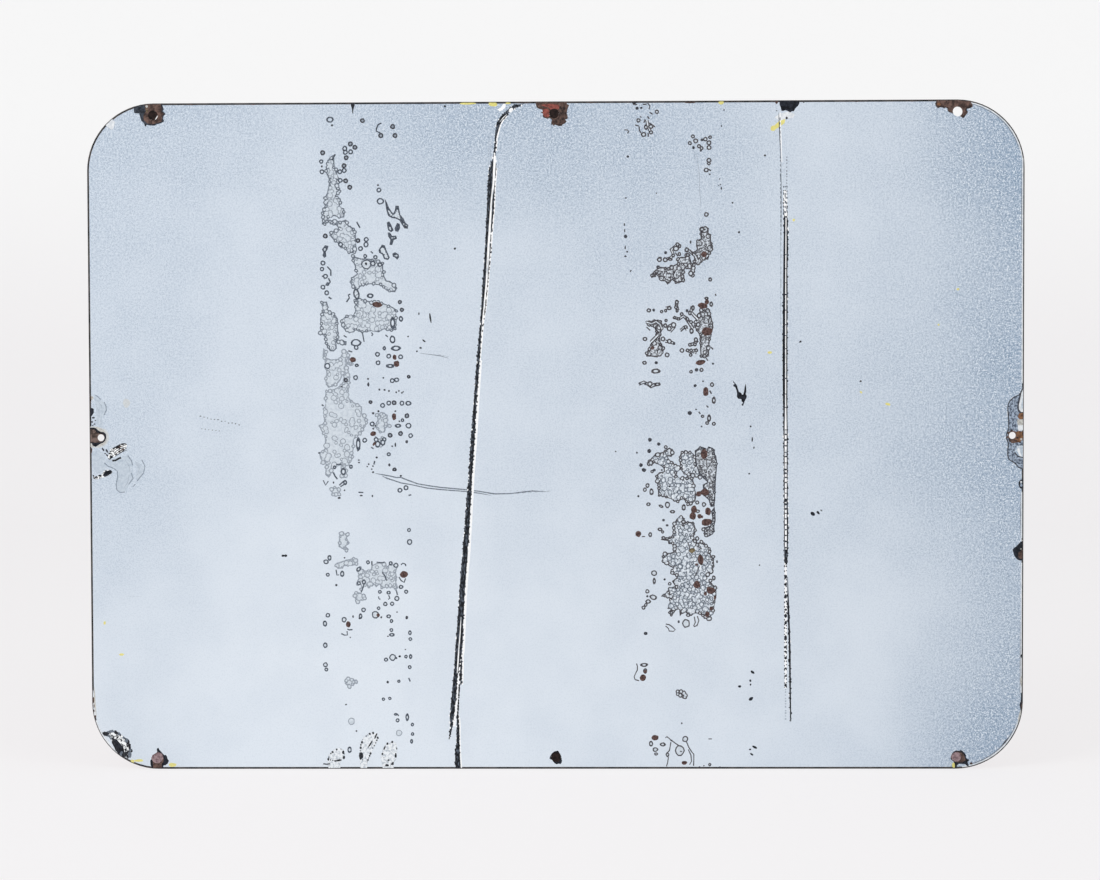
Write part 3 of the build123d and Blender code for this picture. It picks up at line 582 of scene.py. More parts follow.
right_patches = paths(
    [67, 110.9, 65.9, 108, 64.8, 107.9, 62.6, 105.2, 62.9, 103, 65.7, 104.1, 67, 105.6, 67.8, 102.3,
     70, 101.1, 71.9, 100.9, 73.5, 98.7, 75.4, 100.3, 76.3, 102, 77.3, 101.6, 78.5, 99.4, 81.2, 99.7,
     84.5, 101.3, 83.9, 104, 84.1, 107, 84.8, 109, 88, 109.6, 89.6, 109.2, 89.6, 112, 88, 117, 86.8, 119,
     84.8, 118.4, 85, 116.7, 82.4, 116.9, 79.6, 115.8, 79.9, 112.6, 77.8, 111.6, 74, 109.8, 70, 110.3],
    [97.9, 136.9, 100.4, 135.4, 100.2, 132.4, 101.8, 131, 101.8, 127.4, 103.2, 123.4, 101.2, 119,
     99.9, 114.8, 97.4, 115.2, 95.9, 113, 93.4, 112, 91.4, 112.8, 90.9, 107.5, 90.6, 104, 88.2, 104,
     87, 106.8, 89.4, 109.6, 90, 112, 90.8, 116.2, 89.6, 118.4, 90.8, 120, 92.6, 121.7, 92, 124,
     92.6, 127.4, 95.2, 128.8, 94.6, 131.6, 94.8, 135],
    [59, 74.9, 61.5, 75.2, 65, 75.7, 67, 75.2, 68.8, 75.3, 70.4, 73, 70.4, 70, 68.8, 66.6, 68.6, 63,
     69.4, 60.3, 71.5, 57.6, 70.4, 54.4, 66.8, 51.4, 62.9, 52, 59.6, 52, 59.2, 54.4, 61, 57.2,
     62.2, 59.8, 63.2, 62.4, 66, 64.6, 65.6, 68.2, 64.8, 71.4, 61, 72.4],
    [95, 82.8, 93.7, 80.1, 92.1, 77.6, 91.1, 74.6, 90.6, 71.8, 92.3, 68.8, 94.2, 66, 94.5, 58,
     94.9, 51.8, 97.5, 50.6, 100.4, 52.3, 100.7, 60, 101.9, 66, 103.4, 71, 102.9, 74, 101.9, 78.2,
     100.2, 82.4],
    [61, -16, 65, -11.6, 66.8, -10.4, 69.6, -10.6, 71.6, -9, 74.6, -7.2, 76.6, -8.6, 77.7, -11,
     75.8, -13.5, 73.4, -13, 74.4, -15.1, 76.3, -16.6, 78.8, -18.7, 80.9, -20.2, 80.8, -22.3, 79.2, -24,
     79.4, -26, 81.4, -27.8, 82.6, -26.6, 86, -26.8, 89.6, -26.8, 90.4, -30, 91.2, -34.6, 92.2, -38.6,
     91.4, -42.4, 88.8, -44.4, 86.3, -45.2, 84.3, -41.4, 82.6, -41, 80, -43.4, 76, -40.9, 72.4, -40.2,
     70, -39, 67.2, -39.5, 67, -36, 67, -32, 66, -29.2, 65.6, -25.8, 67.8, -23.4, 71, -22.8, 70.4, -20.2,
     67.6, -18.6, 64.6, -17.4, 63, -19.4, 60.6, -18.2],
    [80.9, -13.5, 82.4, -9.8, 85.3, -9.8, 88, -10, 90.2, -11.2, 91.6, -13.4, 92, -18, 93.6, -22,
     95.6, -25.4, 95, -27.6, 89.6, -26.2, 84, -24.8, 81.8, -21.6, 81.2, -17.6],
    [82, -52, 79.3, -54.1, 77.1, -56.8, 76.6, -60, 76.9, -62.5, 76, -65.2, 72.9, -66.1, 70.4, -65.6,
     68.6, -67.7, 73.4, -68.4, 73.8, -70.4, 76.2, -70.5, 77.1, -72, 77.2, -75.2, 75, -76.1, 71.2, -76.3,
     69.6, -78.4, 70, -80.5, 69.6, -82.2, 72.3, -83.4, 74.8, -85.2, 76.9, -86.1, 75.6, -87.5,
     75.6, -89.7, 78.6, -91.2, 79, -92.4, 76, -94.7, 78, -98, 74, -99, 73, -101.7, 70.3, -103.3,
     68.6, -104.7, 71.5, -105, 74.6, -105.3, 74.4, -109, 73, -112.9, 75.2, -113, 73.6, -115.2,
     75.8, -118.1, 77.4, -115.2, 79.5, -113.1, 80.8, -113.4, 81.1, -117.9, 83.4, -115.2, 86, -115.4,
     88.4, -117.6, 91, -115.8, 94, -116.3, 95.9, -117.9, 98, -118.4, 99.4, -120.3, 101.3, -119.8,
     101.4, -117.6, 103.3, -116.2, 103.6, -112, 104.2, -108.5, 105.2, -104, 104.9, -98.8, 103.2, -97.6,
     101, -94.4, 99, -92.6, 100, -90.8, 102.2, -88.8, 103.7, -85, 103.4, -80.4, 101.4, -77.2, 101, -73.2,
     98.8, -71.1, 95.4, -68.1, 92.8, -70, 90.2, -66.2, 92, -61.4, 90.4, -56.2, 86.2, -55.6, 84.2, -56.6,
     84.6, -53.6],
)
cleared_spots = 0
for outline in right_patches:
    if outline[0][1] > 0.0:
        cleared_spots += patch(outline, 0.8, "brown_residue", "grainy_film", "brown_residue", 0.6, 0.6)
        dirt_on(outline, 2.6, 0.35)
    else:
        cleared_spots += patch(outline, 0.8, "brown_residue", "brown_film", "residue", 0.85, 0.6)
print("spots and bubbles in the right patches:", cleared_spots)

# %% Right band, the grainy strip
grainy_strips = paths(
    [91, -9.3, 92.8, -8.1, 94.4, -6.4, 96.6, -7.1, 99, -8.2, 100, -6.6, 102.7, -7.6, 104.3, -8.8,
     103.9, -11, 105.1, -13, 105.7, -18, 105.1, -25, 104.7, -30, 104.6, -35, 104.4, -40, 103.9, -45.9,
     101.4, -46.2, 100, -41.6, 96.6, -38.6, 96.2, -31.6, 99.2, -30, 97, -27.4, 94.6, -25.8, 93, -22,
     91.4, -18, 91.2, -13],
    [103.9, -46, 104.5, -50, 104.7, -55, 103.8, -58.6, 104, -62.2, 101.3, -65, 98.8, -66.2, 97, -63.8,
     96.6, -59.8, 101, -58.4, 102.4, -53, 101.6, -49],
)
for outline in grainy_strips:
    patch(outline, 0.75, "residue_dark", "grainy_film", "brown_residue", 0.35, 0.5, 1.7, 0.4)
    dirt_on(outline, 2.2, 0.4)

# %% Right band, loose rings in the upper half
right_upper_rings = [
    (54.8, 205.4, 2.6), (66.7, 210.9, 2.6, 2.8), (58.1, 196.2, 3.2, 3), (62.9, 197.6, 2.6, 2.4),
    (59.6, 201, 2.4, 3.2), (62.8, 201.4, 3.4, 2.8), (90.1, 194.9, 2.4), (88.1, 190.5, 2.4),
    (91.9, 191.9), (94, 188.5, 2.4), (95.7, 187.2, 2.4), (98.2, 193, 2.8), (101.2, 194.3, 2.2),
    (100.5, 190.7), (100.5, 187.6), (100.5, 179.3), (100.4, 177.3, 2.2), (98.7, 173.1),
    (98.8, 144.3, 3, 2.8), (97.8, 134.4, 4.6, 4.2), (95.9, 134.6, 2.6, 2.8), (101.2, 102, 2.2, 2.6),
    (80, 124.9, 2.4, 2.6), (81.4, 123.8, 2, 2.4), (79, 122.2, 4, 3.4), (81.2, 118.6, 2.2, 2.6),
    (77.2, 117.8, 2.2), (75.2, 115.3, 3.2, 1.9), (72, 115), (68.2, 115, 3, 2.8), (86.7, 118, 2.2, 2.4),
    (86, 121.4, 2.6, 3.2), (88.6, 106, 3.2, 3.4), (98.8, 89.8, 2.6, 1.8), (101.9, 86, 2.2, 3.2),
    (79.5, 87.3, 2.2, 3.2), (78.9, 84.1, 2.2, 2.4), (79.6, 81.8, 1.8, 2.2), (74.6, 83.5, 2.8, 2.4),
    (72.2, 81.9, 1.9, 2.2), (69.6, 81.3, 2), (61.2, 82.1, 2.8, 2.5), (90, 83.6, 2, 3.6),
    (82.7, 79.6, 2.4, 2.2), (77.9, 77.3, 2, 1.8), (80.5, 76.5, 2.4, 1.9), (72.5, 75.5, 1.9),
    (86.5, 76.4, 2, 4, 35), (88.7, 74.4, 2.4), (88, 80.3, 2.2, 2.8), (58.7, 63.5, 3, 2.6), (70.4, 63.5),
    (74.7, 61.9), (73.2, 53.1), (58.4, 48, 2.8, 2.4), (65.7, 42.6, 6, 3), (61.9, 34.2, 3.4, 3.2),
    (66.8, 34, 4.4, 2.2), (89, 68.7, 2.6, 3.6), (91.9, 62.9, 2.6, 3), (91.3, 59.9, 2.2), (88, 59.6, 2.2),
    (86.4, 56, 2.2), (88.8, 56, 2.2), (82.8, 56), (92.1, 56, 2.2), (88.5, 53, 2.2),
    (77.4, 72.6, 3.4, 3.6), (74.6, 70.2, 3), (72, 72.2, 2.4, 2.8), (85.2, 71.2, 2.6, 2.2),
    (102.3, 33.6, 2.6, 3), (103.5, 23.4, 2.4, 4.8), (100.4, 11.7, 2.4, 4.8), (99.1, 8.6, 2.2),
    (103.5, 8.1, 2.4), (88.7, 42.1, 2.2), (95.5, 43.3, 2.4), (96.2, 13, 2.2, 2), (93.4, 72.8, 3, 3.2),
    (94, 78.6, 3, 3.4),
]
right_upper_spots = [
    (53.9, 213.2, 2.2), (56.6, 213.4, 1.8, 1.6), (47.8, 182, 1.9, 1.6), (46.5, 155.2, 1.3, 1.1),
    (90.5, 187.6, 1.9, 2), (95.2, 185.6, 1.6, 1.4), (96.1, 192.7, 2.4, 1.9), (107.9, 163.6, 0.9),
    (108.5, 161.2, 1, 1.9), (107.3, 167.2, 0.7, 1.2), (72.3, 119.6, 2.1), (88.5, 126.3, 1.3, 2.2),
    (67, 110.3, 1.8), (97.7, 134.5, 1.4), (64.5, 82.3, 2), (86.1, 81.8, 2, 2.2), (77.6, 60.4, 2),
    (66, 48, 2.2), (55.2, 34.5, 1.6), (58.9, 34.3, 1.8), (103, 47.3, 1.5), (92.3, 43.3, 2.4),
    (96.5, 35.9, 1.2), (91.3, 33, 2.2), (91.9, 17.5, 1.2), (87.8, 15.1, 3), (95.5, 6.4, 1.2),
    (45.5, 138, 1.1, 2), (45.7, 134, 0.9, 2.2), (46.2, 130.2, 2.2, 2.6), (46, 123, 0.9, 2.6),
    (47.2, 120.3, 1.4, 1.1), (46.1, 117.3, 1.8, 1.2), (61.9, -2.2, 2.7), (67.5, -5, 2.5),
    (61.4, -9.5, 2.5, 2.8), (56, -18.7, 2.5, 2.6), (57.9, -22, 2.9, 2.6),
]
right_upper_strokes = paths(
    [51.2, 215.8, 54, 215.6], [57.6, 215.7, 60.2, 215.9], [60.8, 216.4, 62.3, 214.8, 61.6, 212.6],
    [62, 210.6, 64, 209.3], [56, 208.2, 56.6, 207.2], [60.6, 208, 61.8, 206.4], [59.2, 206, 58.3, 203.8],
    [52.6, 202.4, 55, 201.8], [55.2, 201.6, 55.4, 199, 56.6, 197], [61.6, 203.8, 65.6, 201.2],
    [61, 197.2, 61.2, 194.8], [45.6, 199.3, 47.8, 199.2, 48.4, 198.2, 47.6, 197],
    [100, 173.6, 101.8, 172.6], [49.9, 108.4, 49.2, 107.2], [104.5, 92.8, 105, 91.4],
    [59.7, 71.3, 62.2, 69], [82, 68.3, 83.6, 70, 85.2, 70.2], [65.5, 72, 66.6, 68.5, 68, 67],
    [101.8, 58, 103, 56.6], [98.6, 51, 99.6, 49.2], [100.8, 29.8, 102, 27.6], [98.6, 20, 100, 18.8],
    [93.6, 16, 94.8, 14.6], [94.6, 131.8, 96, 129.4], [67.4, 116.6, 69.8, 116.4],
    [78.6, 119.6, 80.2, 117.2], [88, 121.4, 90.2, 118.4],
)
right_upper_worms = paths(
    [59.5, 74.6, 63, 73.4, 66, 74.8, 68.5, 73, 69.8, 70, 71.2, 72.4, 73.4, 71, 77.2, 73.4, 77.8, 71.2,
     75, 68.2], [67.4, 66.2, 65, 63.8, 62.6, 61.4],
    [77.4, 77.6, 81, 76.4, 83.8, 78.4, 86, 76.4, 88.2, 73, 90, 70], [82, 69, 84.4, 71.2, 86.2, 69.6],
    [89.6, 84.6, 88.6, 81, 91, 78.4, 93.4, 76], [72, 62, 75, 61.6, 78, 60.4],
    [87.4, 59.4, 90.8, 60.4, 93, 62.6], [86, 56.2, 88.8, 55, 92, 56.6, 91, 53.8],
    [71.8, 115, 75.4, 116, 77.4, 118.2, 76, 121.4, 79.4, 124.6, 81.6, 122.2],
    [85, 121.6, 88, 120.4, 91.4, 117.6, 93, 114.2], [72.4, 83.4, 75.6, 84.2],
    [79.8, 88.4, 79.2, 85.2, 80, 82], [54.6, 34, 58, 35.4, 60.6, 34, 62.6, 32.6, 64.6, 33.6, 68.6, 34.2],
    [60.2, 205.6, 61, 201.6, 62.6, 198], [62.4, 81.8, 60.8, 82.4],
)
strokes(right_upper_worms, 2.3, "brown_residue")
strokes(right_upper_worms, 0.8, "brown_film")
rings(right_upper_rings, finish="brown_residue", inside="residue_film")
spots(right_upper_spots, "residue_dark")
strokes(right_upper_strokes, 0.85, "brown_residue")

# %% Right band, loose rings in the lower half
right_lower_rings = [
    (72.2, -7, 2.2, 2.4), (76.4, -10.6, 2.8, 3), (66.9, -12, 3.8, 3), (62.4, -17.3, 3, 3.4),
    (63.2, -23, 2), (60.2, -32.1, 2.4, 3, -30), (58.5, -34.8, 2.4, 2.6), (62.8, -36.2, 2.6, 4.4),
    (60.8, -44.3, 2.6, 2.2), (69, -45.6, 3.2, 1.8, -25), (73.2, -44.8, 3.2, 4), (76.5, -49.2, 3.6, 2),
    (83.8, -46.5, 2.4, 4), (68.3, -60.8, 3, 2.2), (70, -62.5, 2, 1.9), (61.9, -64.2, 2.2, 3),
    (92.6, -43.2, 2.4, 2.6), (97, -44.6, 2.6, 3), (102.6, -44, 2, 2.4), (93, -49, 2.6, 2.2),
    (92.6, -66.8, 2.6, 2.8), (96.6, -60.8, 2.4), (98.4, -64.8, 2.4), (103, -78.8, 2.6, 2.2),
    (103.3, -92.6, 2.2, 3.2), (101.2, -94.4, 2.4), (60, -101.3, 2.6), (63.8, -105.2, 5, 3.2, -15),
    (60.5, -108, 3.4, 2.6), (57.4, -112, 2.4), (58.9, -110.2, 2, 3, -35), (85.2, -122.4, 5, 5.6),
    (64.4, -89.4, 3.6, 3.4), (64.5, -94.6, 1.9, 4.2), (57.8, -149.6, 5, 2.4), (58.4, -153.6, 2.6, 3.4),
    (62.2, -201.5, 2.6, 3.6), (65, -205.3, 3.6, 3), (65.5, -208.2, 2.4, 2), (69.8, -201.9, 4, 2.4),
    (84.5, -198.4, 3.8, 4), (100.6, -215.2, 1.8, 2), (81, -206, 6.2, 7), (73, -208.6, 2.2, 3),
    (86.6, -117, 2.6, 2.2), (74.6, -96.4, 2.2),
]
right_lower_spots = [
    (53.3, -10.6, 1.3), (69.5, -22, 1.4), (64.6, -22, 2.2, 2), (54.2, -39, 1.5), (74.5, -32.7, 1.3),
    (70.6, -54.7, 1.8), (73, -58.1, 2.1, 1.7), (71.3, -93.5, 1.5), (59.9, -104.6, 1.5),
    (80.4, -121.3, 1.5, 1.9), (58.8, -128.9, 2.5, 2.4), (82.3, -188, 1.1, 1.3), (75.5, -199.3, 1.3),
    (81.8, -206.5, 1.6, 0.9), (105.5, -82, 1.3, 1.9), (94, -217, 1.5, 1.4), (107.2, -217, 1.5, 1.4),
    (96.8, -216, 1.1, 0.8),
]
right_lower_strokes = paths(
    [56.4, -65.5, 58.6, -65.4],
    [52.8, -148.7, 53.4, -150.5, 53.3, -153, 52, -155.5, 51.2, -157.5, 51.9, -159.3, 54.5, -160],
    [90.6, -118, 91.3, -121.8, 90.1, -124.2], [92.6, -117.6, 93.6, -120.6, 92.4, -123.8, 90.4, -124.6],
    [72, -122.8, 74.2, -123.2, 76.2, -124.6, 78.2, -126.6, 77, -127.6, 74.2, -127.4, 73.6, -125.6,
     71.8, -124], [71.6, -197.6, 72.6, -196.8, 74.4, -198.2, 75.4, -199.6],
    [76, -199.6, 79.5, -202.1, 80.6, -202.8],
    [85.4, -200.2, 87, -204, 89, -207, 90.2, -208.4, 90.2, -212, 90, -216],
    [75.2, -200.4, 74.8, -203, 74.2, -206, 72.8, -207.4], [73.6, -210.2, 73, -214, 72.3, -216.4],
    [86.6, -205.2, 88.3, -209, 88.7, -213, 87.4, -215.2], [99.8, -198.3, 102, -198.3],
    [94, -84.6, 92.8, -88, 91, -91.4], [86.4, -69.6, 87.8, -73.4], [92.4, -71.8, 95.6, -73.6],
)
rings(right_lower_rings, finish="brown_residue", line=0.85, inside="residue_film")
spots(right_lower_spots, "residue_dark")
strokes(right_lower_strokes, 0.7, "brown_residue")
patch([(79, -166.8), (80.2, -165.8), (82.2, -166.5), (84.3, -167.7), (85.5, -169.5), (84.8, -171.5),
       (83.2, -171.9), (81, -170.2), (79, -169.2)], rim="brown_residue", webs=0)
print("marks so far:", len(marks))

# %% [markdown]
# ## Rust that came up through the pad marks
#
# Where the coat was pricked through, the steel below has rusted and pushed up a dark brown
# blister. Each blister is an uneven spot: across, up, width, height and, for some, a turn.

# %% Rust blisters
blisters = [
    (-115.7, 86.3, 6.3, 3.8, -10), (-132, 50.5, 4.2, 3.6), (-104.6, 52.1, 2.6, 3.6), (-103.4, 47.9, 4),
    (-105.2, 13.3, 3, 4.4), (-118.9, 2.2, 4, 3.4), (-118.2, -4.3, 1.7, 3, -35), (-99.3, -90.1, 5.2, 4.6),
    (-116.3, -116.7, 2.2, 2.8), (-136, -122.8, 3.2, 4), (97.3, 118.4, 4.2, 4), (96.4, 85, 6.6, 4),
    (99, 87.4, 2.8, 3.6), (63.8, 57.8, 2.6), (99.4, 68.4, 7, 5.5), (94.9, 48.2, 6, 3.4, 12),
    (98.3, 29, 3.4, 6.4), (97.2, -11.5, 4.8, 6.5), (93.6, -37.6, 3.4, 3.8, 30), (97.7, -36.5, 6.2, 4.6),
    (90.4, -47.9, 4, 5.4), (89.6, -52.1, 4.6, 5), (94.1, -52.3, 2.8, 3.6), (95.7, -52.6, 1.8),
    (99.7, -49.1, 4.2, 5.2), (98.5, -56, 6.8, 4.8, 6), (54, -63.8, 3.8, 4), (94.9, -80.9, 3.9, 7.2),
    (92.1, -83.8, 1.9, 1.6), (92.4, -97, 4.6, 5.3), (101.5, -100.7, 6.2, 4.6, -20),
    (97.8, -102.9, 2.2, 2.8), (104.1, -105.5, 1.8, 3.4), (101.8, -112.7, 2.6, 2.8),
    (99.1, -116.5, 3.2, 3.8), (57, -158.1, 4.2), (58.5, -154, 2.4, 2.2), (64.9, -197.4, 4.4, 3.6),
    (84.1, -214, 3.6, 2.6),
]
spots(blisters, "blister")
spot(89.2, -74.6, 3.8, 3.2, finish="olive_stain")
print("blisters:", len(blisters))

# %% [markdown]
# ## Scratches and small flecks
#
# A curved scratch crosses the left half, a finer one runs down from the first rings of the right
# band, and a row of dots lies near the left hole. Small flecks of black and of yellow paint are
# scattered over the rest.

# %% Scratches
scratches = paths(
    [-117.8, -23.7, -113, -24.6, -108, -25.5, -104, -26.5, -101, -26.4, -97, -28, -90, -30.6, -82, -32,
     -75, -33, -60, -34.4, -50, -35.6, -40, -37.3, -30, -37.2, -15, -35.5, -5, -36],
    [-113.5, -25.3, -110, -27, -105, -28.6, -101, -30, -94, -31.2, -84, -33.4, -75, -34.4, -60, -35.6,
     -50, -36.8, -42, -38.3],
)
strokes(scratches, 0.8, "scratch", pointed=True)
for step in range(8):
    across = -34 + step * 4.1
    drop = 0.25 * step
    stroke([(across, -37.6 + drop), (across + 2.2, -37.4 + drop)], 0.6, "scratch", True)
    stroke([(across, -35.4), (across + 1.8, -35.3)], 0.4, "scratch", True)
fine_scratches = paths(
    [90.5, 186, 91.2, 182, 91.7, 177.2],
    [91.5, 186, 92.8, 182, 93.9, 173, 94.3, 168, 94.4, 160, 95, 154, 94.6, 146], [93.1, 173, 92.9, 165],
    [-281, -104, -271.5, -104.2],
)
strokes(fine_scratches, 0.45, "faint_scratch", pointed=True)
stroke([(-88.4, 54.8), (-75, 53), (-69.5, 51.4)], 0.6, finish="scratch", pointed=True)
stroke([(-76.2, 54), (-69.4, 52.4)], 0.5, finish="scratch", pointed=True)
for step in range(12):
    across = -232 + 2.3 * step
    spot(across, 13.6 - 0.45 * step + draw.uniform(-0.5, 0.5), draw.uniform(0.7, 1.4), 0.6,
         finish="residue_dark")
    if step < 6:
        spot(across + 0.8, 5.8 - 0.3 * step, draw.uniform(0.5, 0.9), 0.5, finish="residue_dark")

# %% Flecks
black_flecks = [
    (-176.8, -77.6, 2, 1.7), (136.8, 182.3, 1.4), (120, 132.7, 1.5), (160, 61.5, 1.3), (127.5, 6.3, 1.3),
    (128.5, -2, 0.9, 3.6), (129.6, -7.5, 1, 1.6), (126.5, -24.5, 1.2), (133.2, -84.3, 1),
    (144.5, 211.2, 0.8), (199, 35.6, 1.6, 1.3), (159.4, 61.2, 1), (-64.9, 122.8, 1.5), (39.5, -9.8, 1.1),
    (173.5, -48.6, 1.6, 0.8, -40), (106.9, 163, 0.8), (115.8, 151.8, 1.2), (-85.4, 62.8, 2.6, 1, -40),
    (-87.6, 58.2, 1.8, 1.2), (-90, 56, 1.2), (-88.6, 80.6, 0.9, 1.8), (-81.2, 78, 1.2, 7, 8),
    (-95.8, 65.6, 1.1), (110.3, 211.8, 0.8, 1.4), (108.6, 201.5, 0.8, 1.2), (162, 216.5, 0.8, 1),
    (-71, 215.2, 1.6, 1.4), (52, 216.6, 3.2, 1.2), (101, 170.3, 1.4, 0.9), (66.4, 158.2, 0.9),
]
spots(black_flecks, "soot")
yellow_flecks = [
    (-56, 216.8, 10.4, 1.5), (-39.8, 216.4, 6.2, 3), (-30, 216.9, 3.4, 1.2), (108.5, 216.5, 3.6, 2.2),
    (262, 95.2, 1.9, 1.5), (249.5, 72.1, 1.4), (216.7, 20.6, 3.6, 1.6, -15), (199.2, 28.4, 2, 1.2, -40),
    (140, 54.5, 3, 1.8), (155.5, 140.4, 1.6, 2), (-296.2, -121.6, 1.6, 2.6), (-285.2, -142.4, 3.4, 1.6),
    (-274.6, -212.4, 6, 1.8), (-252.4, -215.4, 5.4, 2.8), (-278.8, -212.9, 2.4, 2.2),
    (260, -215.4, 2.6, 3.6),
]
spots(yellow_flecks, "yellow_paint")
stroke([(141.2, 198.4), (144.6, 201.4), (148.4, 204.4), (149.8, 205.8)], 3, "yellow_paint", True)
spot(142.3, 200, 3.4, 4.2, -30, finish="yellow_paint")
print("flecks:", len(black_flecks) + len(yellow_flecks))

# %% [markdown]
# The left hole is scuffed: something rubbed the coat thin and left lines where it turned. The
# corners and the right-hand edge have a bead of coat beside the rim, where the coat was drawn up.
# A pale line along the bead is a painted highlight, with a thin dark line inside it.

# %% Scuffs at the left hole
scuffs = paths(
    [-301.5, 28, -299.5, 27.2, -297.5, 25, -295.4, 23.4, -293.8, 20.8, -293.6, 18.4, -294.6, 15.4,
     -296.8, 13, -296, 10.6, -296, 6.6, -298.4, 6.8, -300.2, 9, -300.6, 14, -300.6, 20, -301.6, 25.6],
    [-303.4, -9, -299.4, -8, -296.4, -10, -294.8, -14.8, -293.4, -19, -295.8, -21.2, -299.6, -23.8,
     -302.4, -21, -303.6, -15],
    [-295.4, -15.4, -292.6, -18, -288.8, -19.8, -286.8, -21.4, -286.6, -25, -287.6, -30, -287.4, -34,
     -285.4, -35.8, -282, -35.4, -279.6, -31.4, -277, -28, -276.6, -24.6, -277.8, -21.6, -276.8, -17.8,
     -279.4, -12, -284, -12.6, -289, -13.4],
    [-275.8, -15, -272.2, -16.6, -269.6, -19.4, -270.8, -24, -273.8, -27.6, -275, -25, -273.6, -21,
     -275, -18],
)
for outline in scuffs:
    lay(outline, "scuffed")
scuff_lines = paths(
    [-301, 28, -299.6, 27.2, -297.2, 25], [-295.2, 23.4, -293.8, 20.4, -293.8, 18, -295.2, 15],
    [-295.4, -16.4, -293, -18.6, -289, -20.2, -286.9, -22, -286.8, -26, -287.8, -30.6, -287.4, -34,
     -285.4, -35.9, -282, -35.6], [-280, -11.6, -277.6, -15, -276.8, -18],
    [-277.8, -23, -276.6, -26.6, -279.6, -30.6],
    [-270.8, -14.4, -268.8, -18.6, -269.6, -23, -274, -28.4], [-276.8, -32.2, -275.2, -30.4],
)
strokes(scuff_lines, 0.7, "scuff_line")
faint_scuff_lines = paths(
    [-299.8, 24.6, -297, 21, -296.4, 17], [-298.4, 26, -295.8, 22.6],
    [-300.4, 21, -298.6, 17.4, -298.4, 13.6], [-297.8, 12, -297.2, 8.4],
    [-283, -33.6, -280, -29, -279.2, -24], [-285.2, -30, -284, -25],
    [-274.6, -16, -272.4, -20.4, -273.8, -24.6], [-282, -14, -279.2, -18.6, -278.8, -22],
)
strokes(faint_scuff_lines, 0.55, "faint_scratch", pointed=True)
spots([(-302.4, 13.2, 1.9, 1.3), (-303.2, 10.4, 1.4, 1.1), (-301.6, 9, 1.4, 0.9), (-302.8, 8, 1.1, 0.8),
       (-301, 11.4, 1.2, 0.7), (-296.2, -7.6, 1.3, 2.6, 35), (-293.6, -8.6, 1.2, 2.8, 30),
       (-293.4, -11.6, 1.1, 2.4, 50), (-291.8, -13.6, 2, 1.4), (-294.8, -10.4, 1.3, 0.8),
       (-302.6, -25, 0.9, 1.6, 30), (-301, -27, 1.4, 0.9)], "residue_dark")
stroke([(-290.2, -15), (-288, -14.8), (-286, -13.6), (-284.4, -13)], 1.3, finish="soot")
spot(-303.4, 26.2, 2.6, 2.6, finish="tan_fringe")
spot(-280.6, 22.8, 5, 6, finish="warm_haze")
lay([(-305.4, 7.4), (-301, 7.6), (-297.4, 6.6), (-294.2, 5.6), (-292.4, 2.8), (-292, -0.6),
     (-293.4, -3.8), (-295.6, -5.6), (-299, -6.6), (-305.4, -6.8)], "warm_haze")
lay([(-305.4, 7), (-299.4, 7), (-295.8, 5.2), (-293.9, 2.8), (-293.6, -0.4), (-294.6, -3.4),
     (-297.4, -5.4), (-305.4, -6)], "tan_fringe")

# %% Lines beside the rim, and painted highlights on the edge bead
def arc_points(centre_x, centre_z, reach, start, end):
    """Points along a rounded corner, angles in degrees."""
    radius = corner_radius - reach
    steps = max(2, round(abs(end - start) / 6))
    return [(centre_x + radius * math.cos(math.radians(start + (end - start) * k / steps)),
             centre_z + radius * math.sin(math.radians(start + (end - start) * k / steps)))
            for k in range(steps + 1)]


core_x, core_z = right - corner_radius, top - corner_radius
# Pale strokes along the corners and the right-hand edge are a painted highlight on the bead.
stroke(arc_points(core_x, core_z, 1.2, 2, 86), 0.7, finish="pale_line_and_highlight")
stroke(arc_points(core_x, core_z, 2, 16, 80), 0.5, finish="scratch", pointed=True)
stroke(arc_points(core_x, -core_z, 1.2, -84, -12), 0.8, finish="pale_line_and_highlight")
stroke(arc_points(core_x, -core_z, 2, -78, -20), 0.6, finish="scratch", pointed=True)
stroke(arc_points(core_x, -core_z, 2.2, -44, -34), 1.2, finish="residue_dark", pointed=True)
stroke(arc_points(-core_x, -core_z, 0.9, 196, 232), 0.7, finish="pale_line_and_highlight")
for start, end in ((180, 34), (-37, -67), (-83, -168)):
    across = right - 1.3
    stroke([(across, start), (across, (start + end) / 2), (across, end)], 0.8, "pale_line_and_highlight")
for start, end in ((178, 120), (-38, -66), (-120, -172)):
    across = right - 2
    stroke([(across, start), (right - 1.9, (start + end) / 2), (across, end)], 0.45, "scratch", True)
lay([(-299.4, -195.2), (-296.2, -197.4), (-292.6, -202), (-289.6, -206.6), (-287, -209.8),
     (-289.4, -210.8), (-292.4, -208.4), (-296.4, -203.8), (-299.6, -199), (-300.4, -196.4)],
    "pale_line_and_highlight")
stroke([(-304.3, -166), (-304.1, -172), (-303.8, -178), (-303, -184)], 2, "pale_line_and_highlight", True)
stroke([(-303.4, -164), (-303.2, -172), (-302.8, -178), (-302.2, -183)], 1, "tan_fringe", True)
spots([(-304, -172.6, 0.9, 4.4), (-303.7, -176.4, 0.8, 2.6), (-303.8, -179.6, 0.9, 1.8),
       (-303, -183.4, 1.5, 1.8), (304.1, -176.4, 1.3, 4.4), (303.6, -20.6, 1.6, 3),
       (271.4, -214.5, 1.8, 1.5), (-288.2, 206.6, 0.9, 0.7), (-287.4, 208.4, 0.8, 0.7),
       (-304.2, 25.4, 1.4, 5.6)], "brown_coat")
strokes([[(303.8, -157), (303.7, -160), (303.8, -164)],
         [(303.6, -179), (302.9, -183), (301.8, -188)]], 1.2, "tan_fringe", pointed=True)
stroke([(304.2, -170.6), (304, -173.6), (303.2, -176), (303.5, -179.2)], 1.1, "soot", True)
